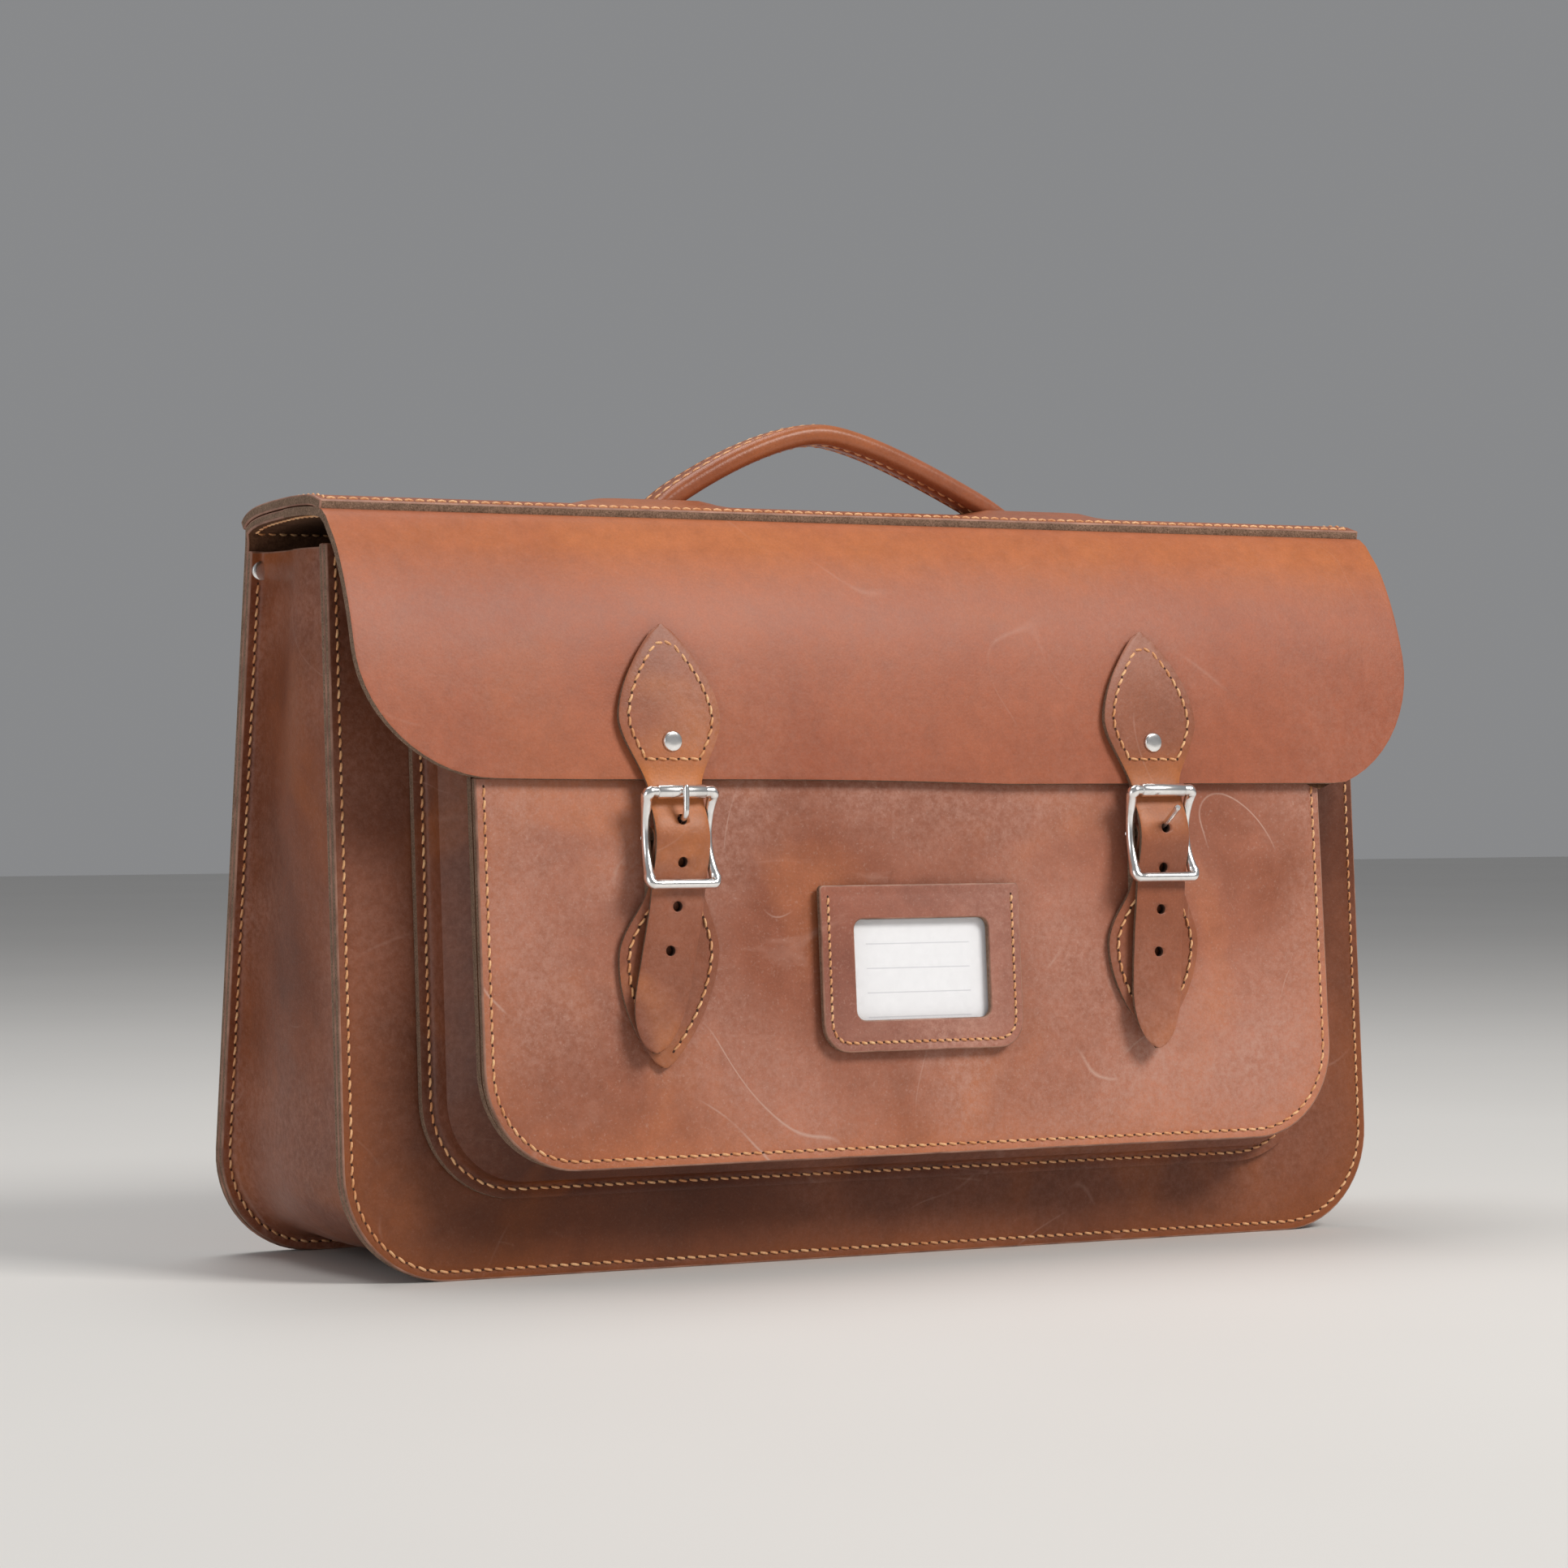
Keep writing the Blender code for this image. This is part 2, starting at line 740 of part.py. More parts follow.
# ---------------------------------------------------------------- straps
def ribbon(name, path, width, thickness, look, x_center, columns=4):
    """A strap along path, a list of (y, z) at mid-thickness; width(j) is its full width there."""

    def point(i, j):
        x = x_center + width(j) * (i / columns - 0.5)
        return Vector((x, *path[j]))

    return mapped_sheet(name, columns, len(path) - 1, point, thickness, look, side=0.0)


def flap_outer_y(z):
    table = sorted((pz, py) for py, pz in resample(flap_front_profile(), 60))
    return interpolate(table, z)


def strap_path():
    """Mid-thickness line of a strap: over the flap, behind the roller, over the bar, down."""
    off_flap = GAP + STRAP_THICK / 2.0
    points = []
    for z in (STRAP_TIP_Z, 0.208, 0.194, 0.181, 0.171):
        slope = (flap_outer_y(z + 0.002) - flap_outer_y(z - 0.002)) / 0.004
        normal = Vector((-1.0, slope)).normalized()
        points.append((flap_outer_y(z) + normal.x * off_flap, z + normal.y * off_flap))
    for off, z in (
        (0.0067, 0.1650),
        (0.0080, 0.1600),
        (0.0104, 0.1545),
        (0.0112, BAR_Z),
        (0.0104, 0.1440),
        (0.0086, 0.1380),
        (0.0076, 0.1325),
        (0.0068, 0.1250),
        (0.0056, 0.1150),
        (0.0050, 0.1020),
        (0.0052, 0.0880),
        (0.0062, STRAP_END_Z),
    ):
        points.append((pocket_face(z) - off, z))
    return resample(points, 60)


def strap_width(z):
    """Leaf-shaped patch above the flap's edge, plain strap below it, round tip at the end."""
    patch = [
        (0.1670, STRAP_WIDTH),
        (0.1750, 0.0250),
        (0.1830, 0.0350),
        (0.1900, PATCH_WIDTH),
        (0.1970, 0.0380),
        (0.2060, 0.0310),
        (0.2140, 0.0190),
        (0.2190, 0.0100),
        (STRAP_TIP_Z, 0.0030),
    ]
    if z > 0.167:
        return interpolate(patch, z)
    tip = [
        (STRAP_END_Z, 0.0040),
        (STRAP_END_Z + 0.0025, 0.0100),
        (STRAP_END_Z + 0.0080, 0.0160),
        (STRAP_END_Z + 0.0180, 0.0196),
        (STRAP_END_Z + 0.0280, STRAP_WIDTH),
    ]
    return interpolate(tip, z)


def flap_strap(label, x):
    path = strap_path()
    obj = ribbon(
        f"flap_strap_{label}",
        path,
        lambda j: strap_width(path[j][1]),
        STRAP_THICK,
        leather(LEATHER_LIGHT),
        x,
    )
    for k, z in enumerate(HOLE_HEIGHTS):
        y = pocket_face(z) - 0.008
        tool = cylinder(
            f"hole_cutter_{label}_{k + 1}", HOLE_R, 0.03, along_y(x, y, z), None, CUTTERS, 12
        )
        cut(obj, tool)
    return obj


def chape(label, x):
    """Patch on the pocket whose upper end wraps round the buckle's centre bar."""
    half = THIN_LEATHER / 2.0
    flat = GAP + half
    wrap = BAR_R + GAP + half
    front = [(flat, CHAPE_TIP_Z), (flat, 0.090), (flat, 0.106), (0.0022, 0.118)]
    front += [(0.0042, 0.128), (0.0046, 0.137), (0.0062, 0.1435)]
    loop = []
    for k in range(9):
        angle = math.radians(200.0 * k / 8.0 - 10.0)
        loop.append((BAR_OFF + wrap * math.cos(angle), BAR_Z + wrap * math.sin(angle)))
    behind = [(0.0019, 0.142), (flat, 0.135), (flat, 0.128)]
    offsets = front + loop + behind
    path = resample([(pocket_face(z) - off, z) for off, z in offsets], 54)
    turn = max(range(len(path)), key=lambda k: path[k][1])

    def width(j):
        if j >= turn:
            return CHAPE_NECK
        table = [
            (CHAPE_TIP_Z, 0.0030),
            (CHAPE_TIP_Z + 0.0040, 0.0120),
            (CHAPE_TIP_Z + 0.0110, 0.0240),
            (CHAPE_TIP_Z + 0.0200, 0.0330),
            (0.1050, 0.0376),
            (0.1120, CHAPE_WIDTH),
            (0.1190, 0.0350),
            (0.1280, 0.0270),
            (0.1360, CHAPE_NECK),
        ]
        return interpolate(table, path[j][1])

    obj = ribbon(
        f"chape_{label}", path, width, THIN_LEATHER, leather(LEATHER_BODY), x
    )
    bm = bmesh.new()
    bmesh.ops.create_cube(bm, size=1.0)
    bmesh.ops.scale(bm, vec=(0.0048, 0.020, 0.0125), verts=bm.verts)
    bmesh.ops.translate(bm, vec=(x, pocket_face(BAR_Z) - BAR_OFF, BAR_Z + 0.0005), verts=bm.verts)
    name = f"prong_slot_cutter_{label}"
    cut(obj, add_object(name, mesh_from_bmesh(name, bm), None, CUTTERS))
    return obj


# ---------------------------------------------------------------- buckles
def buckle_frame_off(z):
    """How far out from the pocket's face the frame's wire lies: bowed, deepest at its middle."""
    t = (z - BAR_Z) / (BUCKLE_HALF_HEIGHT - BUCKLE_WIRE_R)
    return BUCKLE_MID_OFF + (BUCKLE_TOP_OFF - BUCKLE_MID_OFF) * t * t


def buckle_outline():
    """(x, z, scale) round the frame's wire: straight bars, round corners, waisted sides."""
    half_x = BUCKLE_HALF_WIDTH - BUCKLE_WIRE_R
    half_z = BUCKLE_HALF_HEIGHT - BUCKLE_WIRE_R
    corner = 0.0026
    waist = 0.0006
    loop = []
    for k in range(5):
        loop.append((-half_x + corner + (2.0 * (half_x - corner)) * k / 4.0, half_z, 0.82))
    for k in range(1, 4):
        a = math.radians(90.0 - 30.0 * k)
        loop.append(
            (half_x - corner + corner * math.cos(a), half_z - corner + corner * math.sin(a), 1.05)
        )
    for k in range(1, 6):
        t = 1.0 - 2.0 * k / 6.0
        loop.append((half_x - waist * (1.0 - t * t), t * (half_z - corner), 1.0))
    for k in range(3):
        a = math.radians(-30.0 * k)
        loop.append(
            (half_x - corner + corner * math.cos(a), -half_z + corner + corner * math.sin(a), 1.05)
        )
    right = loop[5:]
    bottom = [(half_x - corner - 2.0 * (half_x - corner) * k / 4.0, -half_z, 1.0) for k in range(5)]
    left = [(-x, z, scale) for x, z, scale in reversed(right)]
    return loop + bottom + left


def roller_center(x):
    z = BAR_Z + BUCKLE_HALF_HEIGHT - BUCKLE_WIRE_R
    return x, pocket_face(z) - buckle_frame_off(z), z


def buckle(label, x):
    points, scales = [], []
    for dx, dz, scale in buckle_outline():
        z = BAR_Z + dz
        points.append((x + dx, pocket_face(z) - buckle_frame_off(z), z))
        scales.append(scale)
    frame = wire(
        f"buckle_frame_{label}", points, BUCKLE_WIRE_R, CHROME, closed=True, scales=scales, sides=3
    )
    bar_y = pocket_face(BAR_Z) - BAR_OFF
    bar_length = 2.0 * (BUCKLE_HALF_WIDTH - BUCKLE_WIRE_R)
    bar = cylinder(
        f"buckle_bar_{label}", BAR_R, bar_length, along_x(x, bar_y, BAR_Z), None, CUTTERS, 12
    )
    join(frame, bar)

    _, roller_y, roller_z = roller_center(x)
    center = along_x(x, roller_y, roller_z)
    roller = cylinder(f"buckle_roller_{label}", ROLLER_R, 2.0 * ROLLER_HALF, center, CHROME)
    bore = cylinder(
        f"roller_bore_cutter_{label}", ROLLER_BORE_R, 3.0 * ROLLER_HALF, center, None, CUTTERS
    )
    cut(roller, bore)
    prong(label, x, bar_y, roller_y, roller_z)


def prong(label, x, bar_y, roller_y, roller_z):
    """Tongue: an eye round the centre bar and a wire out through the strap to the roller."""
    eye_r = 0.0033
    tip_y = roller_y - ROLLER_R - GAP - PRONG_R
    points = [(x, bar_y - 0.0014, BAR_Z + 0.0022)]
    for out, up in ((0.0022, 0.0050), (0.0040, 0.0060), (0.0062, 0.0064), (0.0085, 0.0080)):
        points.append((x, bar_y - out, BAR_Z + up))
    points += [(x, tip_y, BAR_Z + 0.0112), (x, tip_y, roller_z + 0.0022)]
    tongue = wire(f"buckle_prong_{label}", points, PRONG_R, CHROME, sides=3)
    eye = cylinder(
        f"prong_eye_{label}", eye_r, 2.2 * PRONG_R, along_x(x, bar_y, BAR_Z), None, CUTTERS, 20
    )
    join(tongue, eye)
    bore = cylinder(
        f"prong_bore_cutter_{label}", BAR_R + GAP, 0.008, along_x(x, bar_y, BAR_Z), None, CUTTERS, 20
    )
    cut(tongue, bore)
    return tongue


# ---------------------------------------------------------------- name-card holder
def card_holder():
    card_back = GAP
    card_thick = 0.0004
    window_thick = 0.0003
    window_back = card_back + card_thick + GAP
    frame_back = window_back + window_thick + GAP

    frame = outline_plate(
        "card_holder",
        bucket_outline(HOLDER_HALF, HOLDER_BOTTOM, HOLDER_TOP, HOLDER_R, 6),
        HOLDER_LEATHER,
        leather(LEATHER_BODY),
        holes=[rounded_rectangle(WINDOW_HALF, WINDOW_BOTTOM, WINDOW_TOP, WINDOW_R)],
    )
    lean_on(frame, lambda z: pocket_face(z) - frame_back - HOLDER_LEATHER)

    window = outline_plate(
        "card_window",
        bucket_outline(HOLDER_HALF - 0.006, HOLDER_BOTTOM + 0.006, HOLDER_TOP - 0.002, 0.004, 3),
        window_thick,
        ((0.85, 0.88, 0.9), 0.08, 0.0, 0.25),
    )
    lean_on(window, lambda z: pocket_face(z) - window_back - window_thick)

    card = outline_plate(
        "name_card",
        rounded_rectangle(HOLDER_HALF - 0.0075, HOLDER_BOTTOM + 0.0075, HOLDER_TOP - 0.004, 0.001, 2),
        card_thick,
        ((0.85, 0.85, 0.86), 0.6, 0.0, 1.0),
    )
    lean_on(card, lambda z: pocket_face(z) - card_back - card_thick)
    for piece in (frame, window, card):
        piece.location.x = HOLDER_X


# ---------------------------------------------------------------- rivets
RIVET_HEIGHT = 0.0014
RIVET_RIM = 0.35         # the cap's straight rim, as a share of its height
STRAP_RIVET_Z = 0.1822


def rivet(name, place, direction, lean):
    """A domed cap turned about its own axis, standing on a face that leans back by lean."""
    dome_r = RIVET_CAP_R * 0.98
    profile = [(0.0, RIVET_HEIGHT)]
    for k in range(4, 0, -1):
        a = math.radians(90.0 * k / 5.0)
        rise = RIVET_RIM + (1.0 - RIVET_RIM) * math.sin(a)
        profile.append((dome_r * math.cos(a), rise * RIVET_HEIGHT))
    profile += [(dome_r, RIVET_RIM * RIVET_HEIGHT), (RIVET_CAP_R, 0.0), (0.0, 0.0)]
    bm = bmesh.new()
    verts = [bm.verts.new((r, 0.0, h)) for r, h in profile]
    for a, b in zip(verts, verts[1:]):
        bm.edges.new((a, b))
    mesh = bpy.data.meshes.new(name)
    bm.to_mesh(mesh)
    bm.free()
    cap = add_object(name, mesh, CHROME)
    turn = cap.modifiers.new("turn", "SCREW")
    turn.axis = "Z"
    turn.steps = turn.render_steps = 20
    turn.use_merge_vertices = True
    turn.merge_threshold = 0.00001
    turn.use_smooth_shade = True
    cap.location = place
    cap.rotation_euler.x = -direction * (math.pi / 2.0 + direction * math.atan(lean))


def rivets():
    for label, side, strap_x in SIDES:
        lean = (flap_outer_y(STRAP_RIVET_Z + 0.004) - flap_outer_y(STRAP_RIVET_Z - 0.004)) / 0.008
        strap_y = flap_outer_y(STRAP_RIVET_Z) - STRAP_THICK - 3.0 * GAP
        rivet(f"strap_rivet_{label}", (strap_x, strap_y, STRAP_RIVET_Z), -1.0, lean)

        seam_x = side * (WIDTH / 2.0 - RIVET_CAP_R - 0.0006)
        seam_z = BODY_TOP - 0.0065
        front_y = front_face(seam_z) + 2.0 * LEATHER + 2.0 * GAP
        back_y = back_face(seam_z) - 2.0 * LEATHER - 2.0 * GAP
        rivet(f"seam_rivet_front_{label}", (seam_x, front_y, seam_z), 1.0, FRONT_LEAN)
        rivet(f"seam_rivet_back_{label}", (seam_x, back_y, seam_z), -1.0, BACK_LEAN)


# ---------------------------------------------------------------- joints
def hang(child, parent):
    """Parents without moving the child."""
    bpy.context.view_layer.update()
    child.parent = parent
    child.matrix_parent_inverse = parent.matrix_world.inverted()


def pivot(name, place, pieces, parent=None):
    """An empty on a joint's axis, with the pieces that move about it."""
    empty = bpy.data.objects.new(name, None)
    PARTS.objects.link(empty)
    empty.empty_display_size = 0.02
    empty.location = place
    if parent is not None:
        hang(empty, parent)
    for piece in pieces:
        hang(bpy.data.objects[piece], empty)
    return empty


def pivots():
    lid = pivot("top_fold_pivot", (0.0, back_face(HINGE_Z), HINGE_Z), ["flap_top", "top_strip"])
    handle_ends = ["handle_end_left", "handle_end_right"]
    for name in handle_ends:
        hang(bpy.data.objects[name], lid)
    pivot(
        "handle_pivot",
        (0.0, FRONT_Y + HANDLE_Y, HANDLE_PIVOT_Z),
        ["handle_cover", "handle_core"],
        lid,
    )
    flap_pieces = ["flap_front"]
    for label in ("left", "right"):
        flap_pieces += [f"flap_strap_{label}", f"strap_rivet_{label}"]
    pivot("flap_pivot", (0.0, FRONT_Y + RIDGE_Y, RIDGE_Z), flap_pieces, lid)
    for label, _, x in SIDES:
        bar = (x, pocket_face(BAR_Z) - BAR_OFF, BAR_Z)
        frame = pivot(f"buckle_pivot_{label}", bar, [f"buckle_frame_{label}"])
        pivot(f"prong_pivot_{label}", bar, [f"buckle_prong_{label}"], frame)
        pivot(f"roller_pivot_{label}", roller_center(x), [f"buckle_roller_{label}"], frame)
    lean = math.atan(POCKET_LEAN)
    slide = pivot("card_slide_pivot", (HOLDER_X, pocket_face(HOLDER_BOTTOM), HOLDER_BOTTOM), [])
    slide.rotation_euler.x = -lean
    hang(bpy.data.objects["name_card"], slide)


# ---------------------------------------------------------------- build
def build():
    body_panels()
    main_gusset()
    pocket_gusset()
    pocket_front()
    flap_top()
    flap_front()
    top_strip()
    handle()
    for label, _, x in SIDES:
        flap_strap(label, x)
        chape(label, x)
        buckle(label, x)
    card_holder()
    rivets()
    pivots()


build()
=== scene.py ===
"""Looks of the leather satchel: stitched leather sheets, plated buckles, card and studio.

Metres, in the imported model's frame: +Z up, +X right, the front faces -Y.
"""

import math
from functools import partial

import bmesh
import bpy
from mathutils import Matrix, Vector, noise


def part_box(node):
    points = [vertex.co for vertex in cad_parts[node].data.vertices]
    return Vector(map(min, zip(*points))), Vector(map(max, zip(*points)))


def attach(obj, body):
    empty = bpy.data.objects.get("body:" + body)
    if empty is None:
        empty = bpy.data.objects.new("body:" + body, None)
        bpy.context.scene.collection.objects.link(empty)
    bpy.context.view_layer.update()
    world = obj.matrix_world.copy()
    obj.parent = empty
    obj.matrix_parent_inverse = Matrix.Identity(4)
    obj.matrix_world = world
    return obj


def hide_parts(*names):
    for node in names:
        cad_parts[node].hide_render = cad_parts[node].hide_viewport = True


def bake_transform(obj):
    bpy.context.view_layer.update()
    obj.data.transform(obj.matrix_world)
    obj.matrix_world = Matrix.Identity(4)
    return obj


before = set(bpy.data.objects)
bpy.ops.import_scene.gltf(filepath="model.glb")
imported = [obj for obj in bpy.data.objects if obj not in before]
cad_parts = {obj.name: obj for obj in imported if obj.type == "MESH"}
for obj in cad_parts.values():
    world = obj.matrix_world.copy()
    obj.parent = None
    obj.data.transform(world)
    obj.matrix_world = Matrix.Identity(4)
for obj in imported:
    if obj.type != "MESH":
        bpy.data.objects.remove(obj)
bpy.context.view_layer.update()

# --- sizes, from the frame
LEATHER = 0.003
GAP = 0.0003                 # clear space between two layers of leather
FRONT_LOW, FRONT_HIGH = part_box("front_panel")
BACK_LOW, BACK_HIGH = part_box("back_panel")
POCKET_LOW, POCKET_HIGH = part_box("pocket_front_panel")
BASE_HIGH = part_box("pocket_gusset")[1]
FLAP_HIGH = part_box("flap_front")[1]
STRIP_LOW, STRIP_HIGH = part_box("top_strip")
HOLDER_LOW, HOLDER_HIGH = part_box("card_holder")

# Half widths, corner radii, and the lean of each face as Y per metre of height.
BODY_HALF, BODY_TOP, BODY_R = FRONT_HIGH.x, FRONT_HIGH.z, 0.038
FRONT_Y = FRONT_LOW.y
FRONT_LEAN = (FRONT_HIGH.y - LEATHER - FRONT_LOW.y) / BODY_TOP
HINGE_Z = BACK_HIGH.z + GAP
BACK_LEAN = (BACK_LOW.y + LEATHER - BACK_HIGH.y) / BACK_HIGH.z
POCKET_HALF, POCKET_BOTTOM, POCKET_TOP, POCKET_R = POCKET_HIGH.x, POCKET_LOW.z, POCKET_HIGH.z, 0.034
POCKET_LEAN = (POCKET_HIGH.y - LEATHER - POCKET_LOW.y) / (POCKET_TOP - POCKET_BOTTOM)
BASE_HALF, BASE_BOTTOM, BASE_TOP = BASE_HIGH.x, 0.027, BASE_HIGH.z
FLAP_HALF, FLAP_R = FLAP_HIGH.x, 0.048
RIDGE_Y, RIDGE_Z = FRONT_Y + 0.008, 0.2595
HANDLE_Y, HANDLE_PIVOT_Z = FRONT_Y + 0.043, 0.268
HANDLE_HALF_SPAN, HANDLE_HALF_WIDTH = 0.078, 0.0080
SEAM, POCKET_SEAM = 0.0068, 0.0062
STITCH_INSET, STITCH_PITCH = 0.0032, 0.0041
STRAP_X = {"left": -0.1005, "right": 0.0952}
BAR_Z, BAR_OFF = 0.1495, 0.0052      # a buckle's centre bar: height, and distance off the pocket

FORWARD, BACKWARD = (0.0, -1.0, 0.0), (0.0, 1.0, 0.0)


def front_face(z):
    return FRONT_Y + FRONT_LEAN * z


def back_face(z):
    return BACK_HIGH.y + BACK_LEAN * z


def pocket_face(z):
    return POCKET_LOW.y + POCKET_LEAN * (z - POCKET_BOTTOM)


# --- curves and numbers
def interpolate(table, x):
    """Piecewise-linear value at x of a table of (x, value), x rising."""
    if x <= table[0][0]:
        return table[0][1]
    for (x0, v0), (x1, v1) in zip(table, table[1:]):
        if x <= x1:
            return v0 + (v1 - v0) * (x - x0) / (x1 - x0)
    return table[-1][1]


def smoothstep(low, high, x):
    t = min(1.0, max(0.0, (x - low) / (high - low)))
    return t * t * (3.0 - 2.0 * t)


def peak(x, center, width):
    """A bell curve of height 1 at center."""
    return math.exp(-(((x - center) / width) ** 2))


def between(a, b, t):
    return tuple(p + (q - p) * t for p, q in zip(a, b))


def even_points(points, count):
    """count + 1 points, evenly spaced along a polyline."""
    lengths = [0.0]
    for a, b in zip(points, points[1:]):
        lengths.append(lengths[-1] + math.dist(a, b))
    result, k = [], 0
    for step in range(count + 1):
        want = lengths[-1] * step / count
        while k < len(points) - 2 and lengths[k + 1] < want:
            k += 1
        span = lengths[k + 1] - lengths[k]
        t = 0.0 if span == 0.0 else (want - lengths[k]) / span
        result.append(between(points[k], points[k + 1], t))
    return result


def resample(points, count, fine=12):
    """count + 1 points, evenly spaced, on a smooth curve (Catmull-Rom) through points."""
    dense = []
    for k in range(len(points) - 1):
        four = points[max(k - 1, 0)], points[k], points[k + 1], points[min(k + 2, len(points) - 1)]
        for m in range(fine):
            t = m / fine
            dense.append(tuple(
                0.5 * (2 * b + (c - a) * t + (2 * a - 5 * b + 4 * c - d) * t * t
                       + (3 * b - a - 3 * c + d) * t**3)
                for a, b, c, d in zip(*four)
            ))
    dense.append(tuple(points[-1]))
    return even_points(dense, count)


def direction_at(path, k, reach=1):
    """Unit direction of a path of (y, z) at point k, over reach points either side."""
    before, after = path[max(k - reach, 0)], path[min(k + reach, len(path) - 1)]
    dy, dz = after[0] - before[0], after[1] - before[1]
    size = math.hypot(dy, dz)
    return dy / size, dz / size


def ripple(point, scale, amount):
    """Slow waviness of a leather sheet, the same on every run."""
    return amount * noise.noise(Vector(point) * scale)


# --- shader helpers
class Look:
    """A material in the making: its Principled shader, and helpers that add nodes before it."""

    def __init__(self, name):
        self.material = bpy.data.materials.new(name)
        self.material.use_nodes = True
        self.tree = self.material.node_tree
        self.shader = self.tree.nodes["Principled BSDF"]
        self.coords = self.node("ShaderNodeTexCoord").outputs["Object"]

    def feed(self, socket, value):
        """Links value if it is a socket, and otherwise sets it; a colour gets its alpha."""
        if isinstance(value, bpy.types.NodeSocket):
            self.tree.links.new(value, socket)
        elif socket.type == "RGBA":
            socket.default_value = (*value, 1.0)
        else:
            socket.default_value = value

    def node(self, kind, inputs=None, **props):
        made = self.tree.nodes.new(kind)
        for key, value in props.items():
            setattr(made, key, value)
        for key, value in (inputs or {}).items():
            self.feed(made.inputs[key], value)
        return made

    def ramp(self, fac, low, high, start=0.0, end=1.0):
        """Grey that goes from start at fac = low to end at fac = high."""
        made = self.node("ShaderNodeValToRGB", {"Fac": fac})
        stops = zip(made.color_ramp.elements, (low, high), (start, end))
        for element, position, value in stops:
            element.position = position
            element.color = (value, value, value, 1.0)
        return made.outputs["Color"]

    def mix(self, fac, a, b, blend="MIX"):
        made = self.node("ShaderNodeMix", data_type="RGBA", blend_type=blend)
        for index, value in ((0, fac), (6, a), (7, b)):
            self.feed(made.inputs[index], value)
        return made.outputs[2]

    def math(self, operation, *values):
        inputs = dict(enumerate(values))
        return self.node("ShaderNodeMath", inputs, operation=operation).outputs[0]

    def times(self, a, b):
        return self.math("MULTIPLY", a, b)

    def noise(self, scale, detail=3.0, rough=0.55, distortion=0.0, coords=None):
        return self.node("ShaderNodeTexNoise", {
            "Vector": coords or self.coords, "Scale": scale, "Detail": detail,
            "Roughness": rough, "Distortion": distortion,
        }).outputs["Fac"]

    def stretched(self, scale, turn):
        inputs = {"Vector": self.coords, "Scale": scale, "Rotation": turn}
        return self.node("ShaderNodeMapping", inputs).outputs["Vector"]

    def finish(self, color, roughness, bump=None, **others):
        """Feeds the shader and returns the material.

        bump is (height, strength, distance); Coat_Weight stands for the socket Coat Weight."""
        others |= {"Base_Color": color, "Roughness": roughness}
        if bump:
            inputs = dict(zip(("Height", "Strength", "Distance"), bump))
            others["Normal"] = self.node("ShaderNodeBump", inputs).outputs["Normal"]
        for key, value in others.items():
            self.feed(self.shader.inputs[key.replace("_", " ")], value)
        return self.material


# --- materials
PALE_BLOOM = (0.50, 0.265, 0.200)
PALE_SCRATCH = (0.56, 0.36, 0.29)
PALE_OLD_SCRATCH = (0.54, 0.34, 0.27)


def leather(name, deep, base, warm, haze=0.5, gloss=0.46, patchy=0.6):
    """Oiled pull-up leather: cloudy tone, warm where it is bent or pressed, a dusty bloom,
    fine speckle and hairline scratches."""
    look = Look(name)
    clouds = look.noise(8.0, 4.0, 0.55, 0.5)
    patches = look.noise(15.0, 3.0, 0.5, 0.8)
    mottle = look.noise(130.0, 6.0, 0.7)
    grain = look.noise(1300.0, 3.0, 0.65)
    pull = look.node("ShaderNodeAttribute", attribute_name="pull_up").outputs["Fac"]
    color = look.mix(look.ramp(clouds, 0.36, 0.62), deep, base)
    warm_mask = look.times(look.ramp(patches, 0.52, 0.70), patchy)
    pulled = look.times(pull, look.ramp(patches, 0.34, 0.60, 0.45))
    color = look.mix(look.math("MAXIMUM", warm_mask, pulled), color, warm)
    color = look.mix(0.45, color, look.ramp(mottle, 0.30, 0.70, 0.38, 0.62), "OVERLAY")
    color = look.mix(0.25, color, look.ramp(grain, 0.25, 0.75, 0.32, 0.70), "OVERLAY")

    area = look.ramp(look.noise(10.0, 2.0, 0.5, 0.3), 0.36, 0.60, 0.0, haze)
    dust = look.ramp(look.noise(420.0, 5.0, 0.75), 0.40, 0.66, 0.25)
    bloom = look.times(area, dust)
    wiped = look.stretched((22.0, 22.0, 62.0), (0.3, 0.7, 0.2))
    wipes = look.ramp(look.noise(1.0, 4.0, 0.6, 1.0, wiped), 0.60, 0.80)
    worn = look.math("MAXIMUM", bloom, look.times(wipes, 0.5 * haze))
    worn = look.times(worn, look.math("SUBTRACT", 1.0, pull))
    color = look.mix(worn, color, PALE_BLOOM)
    flecks = look.ramp(look.noise(1000.0, 4.0, 0.7, 0.4), 0.56, 0.70, 0.0, 0.30 * haze)
    color = look.mix(flecks, color, PALE_SCRATCH)
    turned = look.stretched((1.0, 1.0, 1.0), (0.9, 0.4, 1.3))
    color = look.mix(scratches(look, look.coords, 13.0, 0.53, 24.0, haze), color, PALE_SCRATCH)
    color = look.mix(scratches(look, turned, 9.0, 0.48, 31.0, haze), color, PALE_OLD_SCRATCH)

    rough = look.math("MULTIPLY_ADD", mottle, 0.18, gloss - 0.09)
    rough = look.math("ADD", rough, look.times(bloom, 0.2))
    inputs = {"Vector": look.coords, "Scale": 900.0}
    pores = look.node("ShaderNodeTexVoronoi", inputs).outputs["Distance"]
    height = look.math("ADD", look.times(pores, 0.35), look.times(grain, 0.6))
    height = look.math("ADD", height, look.times(mottle, 1.3))
    return look.finish(color, rough, (height, 0.42, 0.00022), Specular_IOR_Level=0.30,
                       Coat_Weight=0.04, Coat_Roughness=0.3)


